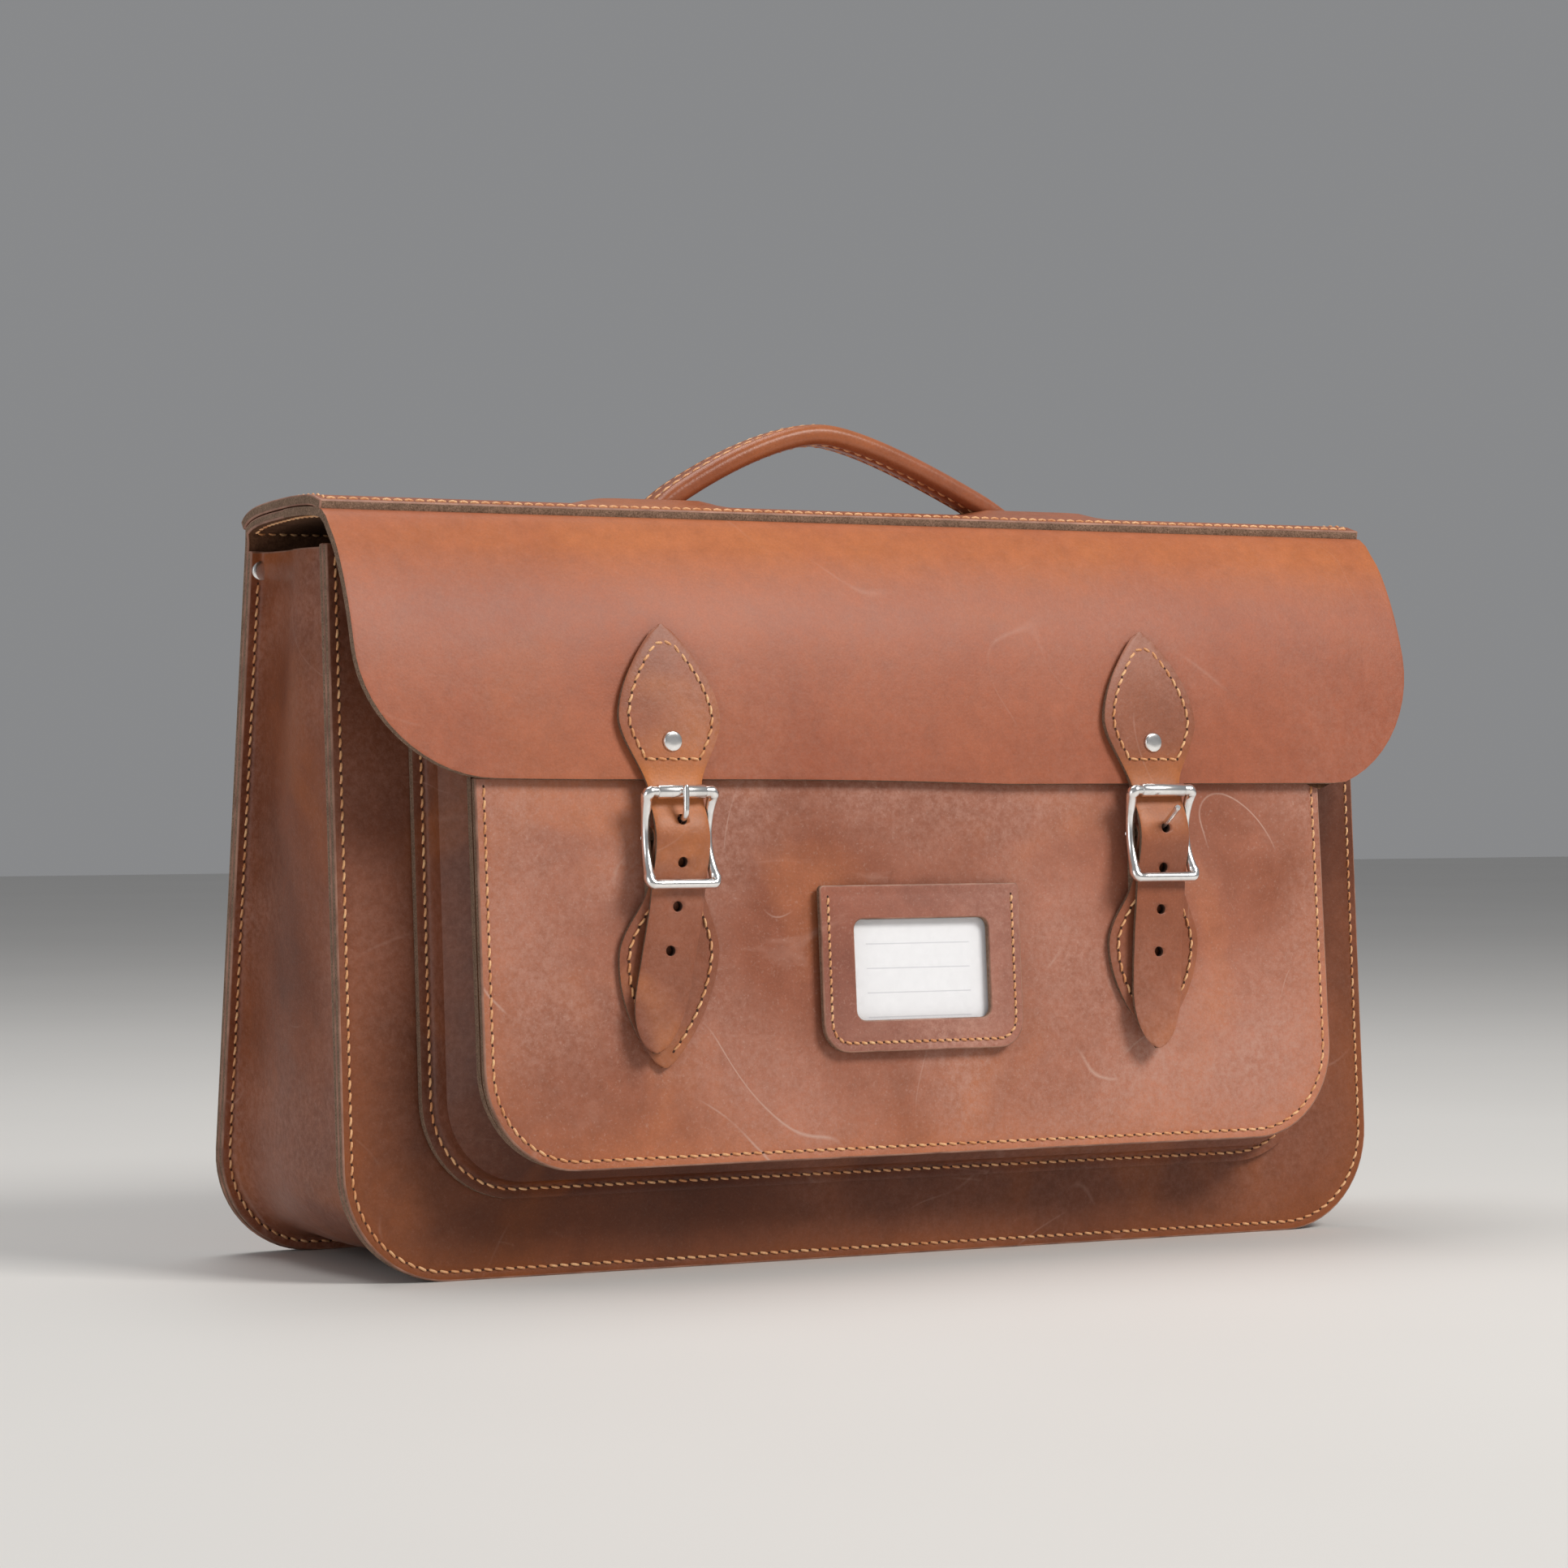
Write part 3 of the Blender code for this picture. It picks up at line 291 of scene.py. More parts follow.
def scratches(look, coords, scale, level, where_scale, amount):
    """Long hairline curves, broken up so that only short lengths of them show."""
    bands = look.noise(scale, 1.0, 0.4, 0.5, coords)
    line = look.math("ABSOLUTE", look.math("SUBTRACT", bands, level))
    line = look.ramp(line, 0.0, 0.0028, 1.0, 0.0)
    where = look.noise(where_scale, 2.0, 0.5, coords=coords)
    return look.times(line, look.ramp(where, 0.54, 0.66, 0.0, 0.75 * amount))


def fibres(name, dark, light, scale, strength=0.9):
    """Cut edge or flesh side: matt, fibrous, flecked."""
    look = Look(name)
    fine = look.noise(scale, 6.0, 0.75, 0.6)
    broad = look.noise(scale * 0.12, 3.0, 0.6)
    color = look.mix(look.ramp(fine, 0.34, 0.66), dark, light)
    color = look.mix(0.35, color, look.ramp(broad, 0.3, 0.7, 0.3, 0.7), "OVERLAY")
    return look.finish(color, 0.92, (fine, strength, 0.0004), Specular_IOR_Level=0.2)


def burnished_corner_and_highlight():
    """The corner of a cut edge: smoother than the raw edge beside it, and paler, partly its own
    burnished tone and partly a painted highlight where it catches the light.
    """
    look = Look("burnished_corner_and_highlight")
    tone = look.ramp(look.noise(90.0, 4.0, 0.6), 0.35, 0.7)
    return look.finish(look.mix(tone, (0.200, 0.085, 0.050), (0.430, 0.220, 0.150)), 0.5)


def waxed_thread():
    look = Look("waxed_thread")
    twist = look.noise(1400.0, 3.0, 0.6)
    tone = look.ramp(look.noise(160.0, 2.0, 0.5), 0.35, 0.65)
    color = look.mix(tone, (0.62, 0.26, 0.10), (0.84, 0.48, 0.24))
    color = look.mix(0.45, color, look.ramp(twist, 0.3, 0.7, 0.25, 0.8), "OVERLAY")
    return look.finish(color, 0.55, (twist, 0.6, 0.0003))


# Near-black brown of needle holes and punched-hole walls: painted shade inside the holes.
def needle_hole_shade():
    look = Look("needle_hole_shade")
    color = look.mix(look.noise(900.0, 2.0), (0.020, 0.006, 0.003), (0.085, 0.028, 0.012))
    return look.finish(color, 0.9)


def nickel_plate():
    """Bright plated metal with faint handling marks."""
    look = Look("nickel_plate")
    marks = look.noise(260.0, 5.0, 0.7, 0.5)
    hairs = look.noise(1.0, 2.0, coords=look.stretched((900.0, 900.0, 90.0), (0.4, 0.2, 0.0)))
    color = look.mix(look.ramp(marks, 0.45, 0.75), (0.88, 0.87, 0.86), (0.74, 0.72, 0.70))
    rough = look.math("MULTIPLY_ADD", marks, 0.12, 0.17)
    height = look.math("ADD", marks, look.times(hairs, 0.5))
    return look.finish(color, rough, (height, 0.02, 0.0001), Metallic=1.0)


CARD_ROW = 0.0085            # distance between the card's ruled lines
CARD_RULE_SHARE = 0.025      # half thickness of a line, as a share of that
CARD_RULE_HALF = 0.021       # half length of a line


def ruled_card():
    """White card with faint ruled lines and no writing."""
    look = Look("ruled_card")
    low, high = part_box("name_card")
    axes = look.node("ShaderNodeSeparateXYZ", {"Vector": look.coords}).outputs
    row = look.math("FRACT", look.math("DIVIDE", look.math("SUBTRACT", axes["Z"], low.z), CARD_ROW))
    off_line = look.math("ABSOLUTE", look.math("SUBTRACT", row, 0.5))
    across = look.math("ABSOLUTE", look.math("SUBTRACT", axes["X"], (low.x + high.x) / 2.0))
    line = look.times(look.math("LESS_THAN", off_line, CARD_RULE_SHARE),
                      look.math("LESS_THAN", across, CARD_RULE_HALF))
    paper = look.noise(400.0, 5.0, 0.6)
    color = look.mix(look.ramp(paper, 0.3, 0.7), (0.86, 0.86, 0.88), (0.92, 0.92, 0.94))
    color = look.mix(look.times(line, 0.45), color, (0.45, 0.45, 0.50))
    return look.finish(color, 0.55, (paper, 0.1, 0.0001))


def clear_sheet():
    """Clear flexible window, faintly hazed."""
    look = Look("clear_sheet")
    rough = look.times(look.noise(70.0, 4.0, 0.6), 0.18)
    look.material.surface_render_method = "BLENDED"
    return look.finish((0.92, 0.94, 0.96), rough, Alpha=0.07, Specular_IOR_Level=0.6)


# Leathers: colours where deep, usual and warm, then haze, gloss and patchiness.
LEATHERS = {
    # panel: the pocket's leather made darker and more saturated, painted shade for the pieces that
    # sit in shade
    "panel": ((0.085, 0.020, 0.006), (0.180, 0.050, 0.020), (0.270, 0.072, 0.014), 0.22, 0.44),
    "pocket": ((0.250, 0.076, 0.038), (0.430, 0.162, 0.100), (0.500, 0.165, 0.066), 1.0),
    "flap": ((0.300, 0.078, 0.034), (0.380, 0.112, 0.052), (0.480, 0.150, 0.036), 0.22, 0.50, 0.12),
    "gusset": ((0.112, 0.024, 0.005), (0.235, 0.062, 0.020), (0.320, 0.084, 0.014), 0.40, 0.40),
    "strap": ((0.200, 0.058, 0.026), (0.330, 0.105, 0.050), (0.540, 0.180, 0.050), 0.40, 0.44),
    "holder": ((0.230, 0.080, 0.052), (0.380, 0.155, 0.108), (0.400, 0.140, 0.085), 1.0, 0.46),
    "handle": ((0.230, 0.060, 0.020), (0.330, 0.098, 0.038), (0.440, 0.140, 0.038), 0.15, 0.33),
}
LOOKS = {label: leather(f"leather_{label}", *values) for label, values in LEATHERS.items()}
LOOKS |= {
    "edge": fibres("raw_edge", (0.095, 0.056, 0.034), (0.360, 0.235, 0.165), 1500.0),
    "flesh": fibres("flesh_side", (0.075, 0.030, 0.015), (0.170, 0.080, 0.042), 700.0, 0.5),
    # paler cut-edge corners: burnished tone plus painted highlight
    "bevel": burnished_corner_and_highlight(),
    "thread": waxed_thread(),
    "hole": needle_hole_shade(),
    "metal": nickel_plate(),
    "card": ruled_card(),
    "window": clear_sheet(),
}
RAW, FLESH, CORNER = 1, 2, 3     # material slots of a leather sheet, after its grain side


# --- meshes
def add_object(name, data):
    obj = bpy.data.objects.new(name, data)
    bpy.context.scene.collection.objects.link(obj)
    return obj


def assign(obj, body=None, replaces=()):
    """Attaches a piece to the body it rides on and hides the nodes it replaces."""
    if body is not None:
        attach(obj, body)
    if replaces:
        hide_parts(*replaces)
    return obj


def assign_blend(obj, replaces):
    """For a piece that spans two bodies: bakes its place into its mesh, leaves it attached to none,
    and hides the nodes it replaces.
    """
    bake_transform(obj)
    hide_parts(*replaces)


def smooth_shade(mesh, degrees):
    mesh.shade_smooth()
    mesh.set_sharp_from_angle(angle=math.radians(degrees))


def add_piece(name, bm, looks, body=None, replaces=(), smooth=35.0):
    mesh = bpy.data.meshes.new(name)
    bm.to_mesh(mesh)
    bm.free()
    for look in looks:
        mesh.materials.append(LOOKS[look])
    smooth_shade(mesh, smooth)
    return assign(add_object(name, mesh), body, replaces)


def add_metal(name, bm, body, source, smooth=60.0):
    bmesh.ops.recalc_face_normals(bm, faces=bm.faces)
    return add_piece(name, bm, ["metal"], body, [source], smooth)


def bake_modifiers(obj):
    """Replaces the mesh by what its modifiers make."""
    depsgraph = bpy.context.evaluated_depsgraph_get()
    mesh = bpy.data.meshes.new_from_object(obj.evaluated_get(depsgraph))
    obj.modifiers.clear()
    obj.data = mesh


def thicken(obj, thickness):
    """Adds the thickness of a sheet behind its drawn side."""
    solid = obj.modifiers.new("thickness", "SOLIDIFY")
    solid.thickness = thickness
    solid.offset = -1.0
    return solid


def subtract(obj, bm, look):
    """Cuts the shape of bm out of obj; the walls of the cut get the look."""
    cutter = add_piece("cutter", bm, [look])
    cut = obj.modifiers.new("cut", "BOOLEAN")
    cut.object = cutter
    cut.operation = "DIFFERENCE"
    cut.solver = "EXACT"
    cut.material_mode = "TRANSFER"
    bake_modifiers(obj)
    bpy.data.objects.remove(cutter, do_unlink=True)


def leather_sheet(name, bm, look, thickness=LEATHER, corner=0.0006, even=True):
    """Gives an open grain-side mesh its thickness, its raw edge and its corners, burnished and
    paler with a painted highlight.
    """
    bmesh.ops.remove_doubles(bm, verts=bm.verts, dist=0.000002)
    obj = add_piece(name, bm, [look, "edge", "flesh", "bevel"])
    solid = thicken(obj, thickness)
    solid.use_even_offset = even
    solid.material_offset = FLESH
    solid.material_offset_rim = RAW
    bevel = obj.modifiers.new("corner", "BEVEL")
    bevel.width = corner
    bevel.segments = 3
    bevel.limit_method = "ANGLE"
    bevel.angle_limit = math.radians(55.0)
    bevel.material = CORNER
    bake_modifiers(obj)
    smooth_shade(obj.data, 40.0)
    return obj


def grid_bmesh(rows, flip=False, closed=False, pull_up=None):
    """A quad grid on a list of rows of points; closed joins each row's end to its start."""
    bm = bmesh.new()
    layer = bm.verts.layers.float.new("pull_up")
    verts = []
    for row in rows:
        verts.append([bm.verts.new(point) for point in row])
        for vert in verts[-1]:
            vert[layer] = 0.0 if pull_up is None else pull_up(vert.co)
    count = len(verts[0])
    for a, b in zip(verts, verts[1:]):
        for k in range(count if closed else count - 1):
            n = (k + 1) % count
            quad = (a[k], a[n], b[n], b[k])
            bm.faces.new(quad[::-1] if flip else quad)
    return bm


def turns(count):
    return [2.0 * math.pi * m / count for m in range(count)]


def ring(bm, center, first, second, radius, sides):
    """A ring of vertices round center, in the plane of the directions first and second."""
    return [
        bm.verts.new(center + (first * math.cos(a) + second * math.sin(a)) * radius)
        for a in turns(sides)
    ]


def loft(bm, rings, closed=False):
    """Quads between neighbouring rings of vertices; closed joins the last to the first."""
    for a, b in zip(rings, rings[1:] + rings[:1] if closed else rings[1:]):
        for m in range(len(a)):
            n = (m + 1) % len(a)
            bm.faces.new((a[m], a[n], b[n], b[m]))


# --- U-shaped panels
CORNER_STATIONS = 14
PANEL_STEP = 0.006
BORDER = 0.008               # width of the border that holds the seam's groove
GROOVE_DEPTH, GROOVE_WIDTH = 0.00022, 0.0009


def u_point(half, bottom, top, radius, station, inset):
    """(x, v) of a station on a U-shaped outline, moved inwards by inset."""
    kind, f = station
    side, round_x, round_z = half - inset, half - radius, bottom + radius
    if kind == "left":
        return -side, top + (round_z - top) * f
    if kind == "right":
        return side, round_z + (top - round_z) * f
    if kind == "bottom":
        return -round_x + 2.0 * round_x * f, bottom + inset
    angle = math.radians((180.0 if kind == "left_corner" else 270.0) + 90.0 * f)
    center = -round_x if kind == "left_corner" else round_x
    reach = radius - inset
    return center + reach * math.cos(angle), round_z + reach * math.sin(angle)


def u_stations(sides, corner, bottom):
    """(kind, share along it) down the left side, round and up the right side."""
    counts = {"left": sides, "left_corner": corner, "bottom": bottom, "right_corner": corner}
    counts["right"] = sides
    return [(kind, k / n) for kind, n in counts.items() for k in range(n)] + [("right", 1.0)]


def groove(inset):
    """How deep the pulled-in stitches press the leather at this distance from the edge."""
    return GROOVE_DEPTH * peak(inset, STITCH_INSET, GROOVE_WIDTH)


def u_panel(half, bottom, top, radius, surface, flip=False, stitched=True, pull_up=None,
            step=PANEL_STEP):
    """A U-shaped sheet: rings along its border, then a plain grid inside them.

    surface(x, v, depth) is the grain side, moved into the leather by depth.
    """
    sides = max(4, round((top - bottom - radius) / step))
    across = max(6, round(2.0 * (half - radius) / step))
    stations = u_stations(sides, CORNER_STATIONS, across)
    insets = [0.0, 0.0012, 0.0020, 0.0026, STITCH_INSET, 0.0038, 0.0044, 0.0054, BORDER]
    insets += [BORDER + (radius - BORDER) * k / 6.0 for k in range(1, 6)]
    bm = bmesh.new()
    layer = bm.verts.layers.float.new("pull_up")

    def vertex(x, v, depth):
        vert = bm.verts.new(surface(x, v, depth))
        vert[layer] = 0.0 if pull_up is None else pull_up(x, v)
        return vert

    def face(*corners):
        loop = list(dict.fromkeys(corners))
        if len(loop) > 2:
            bm.faces.new(loop[::-1] if flip else loop)

    rings = []
    for inset in insets:
        depth = groove(inset) if stitched else 0.0
        places = [u_point(half, bottom, top, radius, station, inset) for station in stations]
        rings.append([vertex(*place, depth) for place in places])
    grid = []
    for row in range(sides + 1):
        v = top + (bottom + radius - top) * row / sides
        xs = [(half - radius) * (2.0 * column / across - 1.0) for column in range(across + 1)]
        grid.append([vertex(x, v, 0.0) for x in xs])
    inner = {
        "left": lambda f: grid[round(f * sides)][0],
        "left_corner": lambda f: grid[sides][0],
        "bottom": lambda f: grid[sides][round(f * across)],
        "right_corner": lambda f: grid[sides][across],
        "right": lambda f: grid[sides - round(f * sides)][across],
    }
    rings.append([inner[kind](f) for kind, f in stations])
    for outer, inside in zip(rings, rings[1:]):
        for k in range(len(stations) - 1):
            face(outer[k], outer[k + 1], inside[k + 1], inside[k])
    for upper, lower in zip(grid, grid[1:]):
        for k in range(across):
            face(lower[k], lower[k + 1], upper[k + 1], upper[k])
    return bm


def u_seam(half, bottom, top, radius, short, step=0.002):
    """Dense (x, v) points along the seam of a U-shaped outline, stopping short of its top."""
    top -= short
    across = round(2.0 * (half - radius) / step)
    stations = u_stations(round((top - bottom - radius) / step), 40, across)
    return [u_point(half, bottom, top, radius, s, STITCH_INSET) for s in stations]


# --- stitching
THREAD_R, THREAD_SIDES = 0.00046, 6
STITCH_SLANT = 0.00018
# A stitch from hole to hole: share of the way, height over the leather, share of THREAD_R.
STITCH_PROFILE = (
    (0.12, -0.00022, 0.80), (0.22, 0.00010, 0.95), (0.50, 0.00030, 1.10),
    (0.78, 0.00010, 0.95), (0.88, -0.00022, 0.80),
)
HOLE_ALONG, HOLE_ACROSS, HOLE_LIFT, HOLE_SIDES = 0.00052, 0.00042, 0.00006, 8


def stitch_row(bm, path, normal, pitch=STITCH_PITCH):
    """Adds a row of saddle stitches along path: a short plump thread between two needle holes."""
    length = sum((Vector(b) - Vector(a)).length for a, b in zip(path, path[1:]))
    count = max(1, round(length / pitch))
    points = [Vector(p) for p in even_points([tuple(Vector(p)) for p in path], count * 4)]
    last = len(points) - 1
    for k in range(count):
        start, middle, end = points[4 * k : 4 * k + 5 : 2]
        along = (end - start).normalized()
        up = normal(middle).normalized()
        across = along.cross(up).normalized()
        span = (end - start).length
        rings = []
        for f, height, fat in STITCH_PROFILE:
            aside = across * STITCH_SLANT * (2.0 * f - 1.0) * 2.0
            center = start + along * span * f + up * height + aside
            rings.append(ring(bm, center, across, up, THREAD_R * fat, THREAD_SIDES))
        loft(bm, rings)
        bm.faces.new(rings[0][::-1])
        bm.faces.new(rings[-1])
    # Each needle hole is a flat dark disc just over the leather: painted shade of the hole.
    for k in range(count + 1):
        center = points[min(4 * k, last)]
        up = normal(center).normalized()
        along = (points[min(4 * k + 1, last)] - points[max(4 * k - 1, 0)]).normalized()
        across = along.cross(up).normalized()
        axes = along * HOLE_ALONG, across * HOLE_ACROSS
        disc = bm.faces.new(ring(bm, center + up * HOLE_LIFT, *axes, 1.0, HOLE_SIDES))
        disc.normal_update()
        if disc.normal.dot(up) < 0.0:
            disc.normal_flip()
        disc.material_index = 1


def add_thread(name, bm, body=None):
    return add_piece(name, bm, ["thread", "hole"], body, smooth=70.0)


def stitching(name, body, rows, pitch=STITCH_PITCH):
    """One piece of thread for all rows; each row is (path, normal function)."""
    bm = bmesh.new()
    for path, normal in rows:
        stitch_row(bm, path, normal, pitch)
    add_thread(name, bm, body)


def facing(*direction):
    way = Vector(direction)
    return lambda point: way


# --- surfaces
PANEL_RIPPLE = (9.0, 0.0002)     # scale and height of the waves in a sewn panel


def edge_warmth(half, bottom, radius):
    """Warmer and less hazy towards a panel's lower edge and corners."""

    def pull_up(x, v):
        side, low = half - abs(x), v - bottom
        near = min(side, low)
        if side < radius and low < radius:
            near = radius - math.hypot(radius - side, radius - low)
        return 0.75 * math.exp(-max(near, 0.0) / 0.014) * (1.0 - smoothstep(0.05, 0.16, low))

    return pull_up


def front_surface(x, z, depth=0.0):
    return Vector((x, front_face(z) + depth + ripple((x, 0.0, z), *PANEL_RIPPLE), z))


def pocket_surface(x, z, depth=0.0):
    return Vector((x, pocket_face(z) + depth + ripple((x, 3.0, z), *PANEL_RIPPLE), z))


CUT_Y = FRONT_Y + 0.044      # under the top strip, where the two leather pieces of the cover meet


def cover_points():
    """(y, z) of the cover's outer surface, from the hinge over the domed top and the ridge to
    the flap's lower edge."""
    hinge_y = back_face(HINGE_Z)
    bend = ((0.0, 0.0), (0.0004, 0.0016), (0.0016, 0.0031), (0.0040, 0.0046), (0.0078, 0.0058),
            (0.0140, 0.0068))
    top = ((0.0640, 0.2610), (0.0500, 0.2615), (0.0360, 0.2618), (0.0240, 0.2616), (0.0160, 0.2610))
    ridge = ((0.0030, 0.0006), (-0.0004, -0.0014), (-0.0030, -0.0044))
    flap = ((-0.0020, 0.2470), (-0.0100, 0.2320), (-0.0160, 0.2150), (-0.0205, 0.1940),
            (-0.024, 0.1675))
    points = [(hinge_y - forward, HINGE_Z + rise) for forward, rise in bend]
    points += [(FRONT_Y + y, z) for y, z in top]
    points += [(RIDGE_Y + y, RIDGE_Z + z) for y, z in ridge]
    return points + [(FRONT_Y + y, z) for y, z in flap]


COVER = resample(cover_points(), 900)
COVER_LENGTHS = [0.0]
for a, b in zip(COVER, COVER[1:]):
    COVER_LENGTHS.append(COVER_LENGTHS[-1] + math.dist(a, b))
COVER_LENGTH = COVER_LENGTHS[-1]
COVER_STEP = COVER_LENGTH / (len(COVER) - 1)


def cover_at(s):
    """Point and outward direction, both (y, z), on the cover's outer surface at length s."""
    place = min(max(s / COVER_STEP, 0.0), len(COVER) - 1.001)
    k = int(place)
    before, after = COVER[max(k - 3, 0)], COVER[min(k + 4, len(COVER) - 1)]
    dy, dz = after[0] - before[0], after[1] - before[1]
    size = math.hypot(dy, dz)
    return between(COVER[k], COVER[k + 1], place - k), (dz / size, -dy / size)


def cover_length_at(test):
    """The length along the cover of the first point for which test(y, z) holds."""
    for k, (y, z) in enumerate(COVER):
        if test(y, z):
            return COVER_LENGTHS[k]
    return COVER_LENGTH


CUT_S = cover_length_at(lambda y, z: y < CUT_Y and z > 0.255)
RIDGE_S = cover_length_at(lambda y, z: y < RIDGE_Y)
OVERLAP = 0.006              # drawn past the cut, then cut off straight


def narrowed(x, y):
    """The cover is a little narrower towards the back, where it is sewn to the gusset."""
    return x * (1.0 - 0.014 * smoothstep(-0.010, 0.050, y))


def cover_surface(x, s, depth=0.0):
    (y, z), (ny, nz) = cover_at(s)
    x = narrowed(x, y)
    inward = depth + ripple((x, s, 5.0), 8.0, 0.00035) * smoothstep(RIDGE_S, RIDGE_S + 0.02, s)
    return Vector((x, y - ny * inward, z - nz * inward))


def back_surface(x, v, depth=0.0):
    """Back panel up to the hinge at v = HINGE_Z, then on over the top."""
    if v > HINGE_Z:
        spread = 1.0 + (FLAP_HALF / BODY_HALF - 1.0) * smoothstep(HINGE_Z, HINGE_Z + 0.003, v)
        return cover_surface(x * spread, v - HINGE_Z, depth)
    return Vector((x, back_face(v) - depth + ripple((x, 7.0, v), *PANEL_RIPPLE), v))


# --- cover: back, top and flap
def cut_open(obj, direction):
    """Removes what lies past the plane at CUT_Y, and leaves the end open."""
    bm = bmesh.new()
    bm.from_mesh(obj.data)
    geometry = list(bm.verts) + list(bm.edges) + list(bm.faces)
    bmesh.ops.bisect_plane(bm, geom=geometry, plane_co=(0.0, CUT_Y, 0.25), plane_no=direction,
                           clear_outer=True)
    bm.to_mesh(obj.data)
    bm.free()


def make_back():
    top = HINGE_Z + CUT_S + OVERLAP
    bm = u_panel(BODY_HALF, 0.0, top, BODY_R, back_surface, flip=True)
    obj = leather_sheet("back_and_top", bm, "flap", even=False)
    cut_open(obj, FORWARD)
    assign_blend(obj, ["back_panel"])


def flap_bottom(x):
    """The flap hangs a little lower on its right, and its edge isn't quite straight."""
    return 0.0004 - 0.015 * x + 0.0006 * math.cos(x * 23.0 + 0.6)


def make_flap():
    def surface(x, v, depth):
        s = COVER_LENGTH - v
        s -= flap_bottom(x) * (1.0 - smoothstep(0.0, 0.05, v))
        return cover_surface(x, s, depth)

    def pull_up(x, v):
        """Oil shows where the flap folds."""
        return 0.6 * peak(COVER_LENGTH - v - RIDGE_S, 0.008, 0.016)

    top = COVER_LENGTH - CUT_S + OVERLAP
    bm = u_panel(FLAP_HALF, 0.0, top, FLAP_R, surface, stitched=False, pull_up=pull_up, step=0.005)
    obj = leather_sheet("flap_and_top", bm, "flap", corner=0.0009, even=False)
    cut_open(obj, BACKWARD)
    nodes = ["flap_top", "flap_front"]
    assign_blend(obj, nodes)


# --- body
BODY_U = (BODY_HALF, 0.0, BODY_TOP, BODY_R)
POCKET_U = (POCKET_HALF, POCKET_BOTTOM, POCKET_TOP, POCKET_R)
BASE_U = (BASE_HALF, BASE_BOTTOM, BASE_TOP, POCKET_R)


def make_panels():
    for name, source, look, outline, surface in (
        # the front body panel takes the darker panel leather: painted shade
        ("front_body_panel", "front_panel", "panel", BODY_U, front_surface),
        ("pocket_panel", "pocket_front_panel", "pocket", POCKET_U, pocket_surface),
    ):
        half, bottom, _, radius = outline
        bm = u_panel(*outline, surface, pull_up=edge_warmth(half, bottom, radius))
        assign(leather_sheet(name, bm, look, even=False), "bag", [source])


TURN_STEPS = 8
FLANGE_INSETS = (0.0, 0.0012, 0.0022, STITCH_INSET)


def gusset_profile(seam, reach, wall_steps):
    """(inset, turn, share of the way across) from flange edge to flange edge.

    The flange starts to turn just inside its stitches and swings round over reach."""
    across = seam - STITCH_INSET - 0.0006
    near = [(inset, 0.0, 0.0) for inset in FLANGE_INSETS]
    for k in range(TURN_STEPS + 1):
        a = math.pi / 2.0 * k / TURN_STEPS
        near.append((seam - across * (1.0 - math.sin(a)), reach * (1.0 - math.cos(a)), 0.0))
    wall = [(seam, 0.0, (k + 1) / (wall_steps + 1)) for k in range(wall_steps)]
    return near + wall + [(inset, turn, 1.0) for inset, turn, _ in reversed(near)]


def make_gusset(name, source, look, stations, profile, bend, point, flanges, wall=None):
    """A strip of leather round a U, between two outward flanges.

    point(station, inset, share) is (x, z) and flanges(z) the flanges' y. The strip bends from
    one to the other, and wall(x, y, z, share) moves the points between them."""
    rows = []
    for inset, turn, share in profile:
        row = []
        for station in stations:
            x, z = point(station, inset, share)
            near, far = flanges(z)
            way = math.copysign(1.0, far - near)
            if share == 0.0:
                row.append((x, near + way * (turn - groove(inset)), z))
            elif share == 1.0:
                row.append((x, far - way * (turn - groove(inset)), z))
            else:
                y = near + way * bend + (far - near - 2.0 * way * bend) * share
                row.append(wall(x, y, z, share) if wall else (x, y, z))
        rows.append(row)
    obj = leather_sheet(name, grid_bmesh(rows, flip=way > 0.0), look)
    assign(obj, "bag", [source])


def body_flanges(z):
    return front_face(z) + 2.0 * LEATHER + GAP, back_face(z) - 2.0 * LEATHER - GAP


def pocket_flanges(z):
    return front_face(z) - LEATHER - GAP, pocket_face(z) + 2.0 * LEATHER + GAP


def make_gussets():
    def body_point(station, inset, share):
        return u_point(*BODY_U, station, inset)

    def swollen(x, y, z, share):
        swell = 0.0020 * math.sin(math.pi * share) ** 2 + ripple((x, y, z), 14.0, 0.0005)
        outward = Vector((x, 0.0, min(0.0, z - 0.06))).normalized()
        return Vector((x, y, z)) + outward * swell

    def pocket_point(station, inset, share):
        return between(u_point(*BASE_U, station, inset), u_point(*POCKET_U, station, inset), share)

    bend = 0.013
    make_gusset("body_gusset", "main_gusset", "gusset", u_stations(34, CORNER_STATIONS, 56),
                gusset_profile(SEAM, bend, 14), bend, body_point, body_flanges, swollen)
    bend = 0.0065
    # the pocket's side takes the darker panel leather: painted shade
    make_gusset("pocket_side", "pocket_gusset", "panel", u_stations(22, CORNER_STATIONS, 48),
                gusset_profile(POCKET_SEAM, bend, 7), bend, pocket_point, pocket_flanges)


def body_stitching():
    """Rows of thread on both faces of each seam of the body and the pocket."""
    outline, behind = u_seam(*BODY_U, 0.004), u_seam(*BODY_U, 0.011)
    edge, base = u_seam(*POCKET_U, 0.003), u_seam(*BASE_U, 0.004)
    dip = groove(STITCH_INSET)
    out, back = facing(*FORWARD), facing(*BACKWARD)

    def on(surface, path):
        return [surface(x, z, dip) for x, z in path]

    def at(depth_of, path):
        return [(x, depth_of(z), z) for x, z in path]

    stitching("front_seam_thread", "bag", [
        (on(front_surface, outline), out),
        (at(lambda z: body_flanges(z)[0] - dip, behind), back),
    ])
    stitching("back_seam_thread", "bag", [
        (on(back_surface, outline), back),
        (at(lambda z: body_flanges(z)[1] + dip, behind), out),
    ])
    stitching("pocket_seam_thread", "bag", [
        (on(pocket_surface, edge), out),
        (at(lambda z: pocket_flanges(z)[1] - dip, edge), back),
        (at(lambda z: pocket_flanges(z)[0] + dip, base), out),
        (at(lambda z: front_face(z) + LEATHER, base), back),
    ])


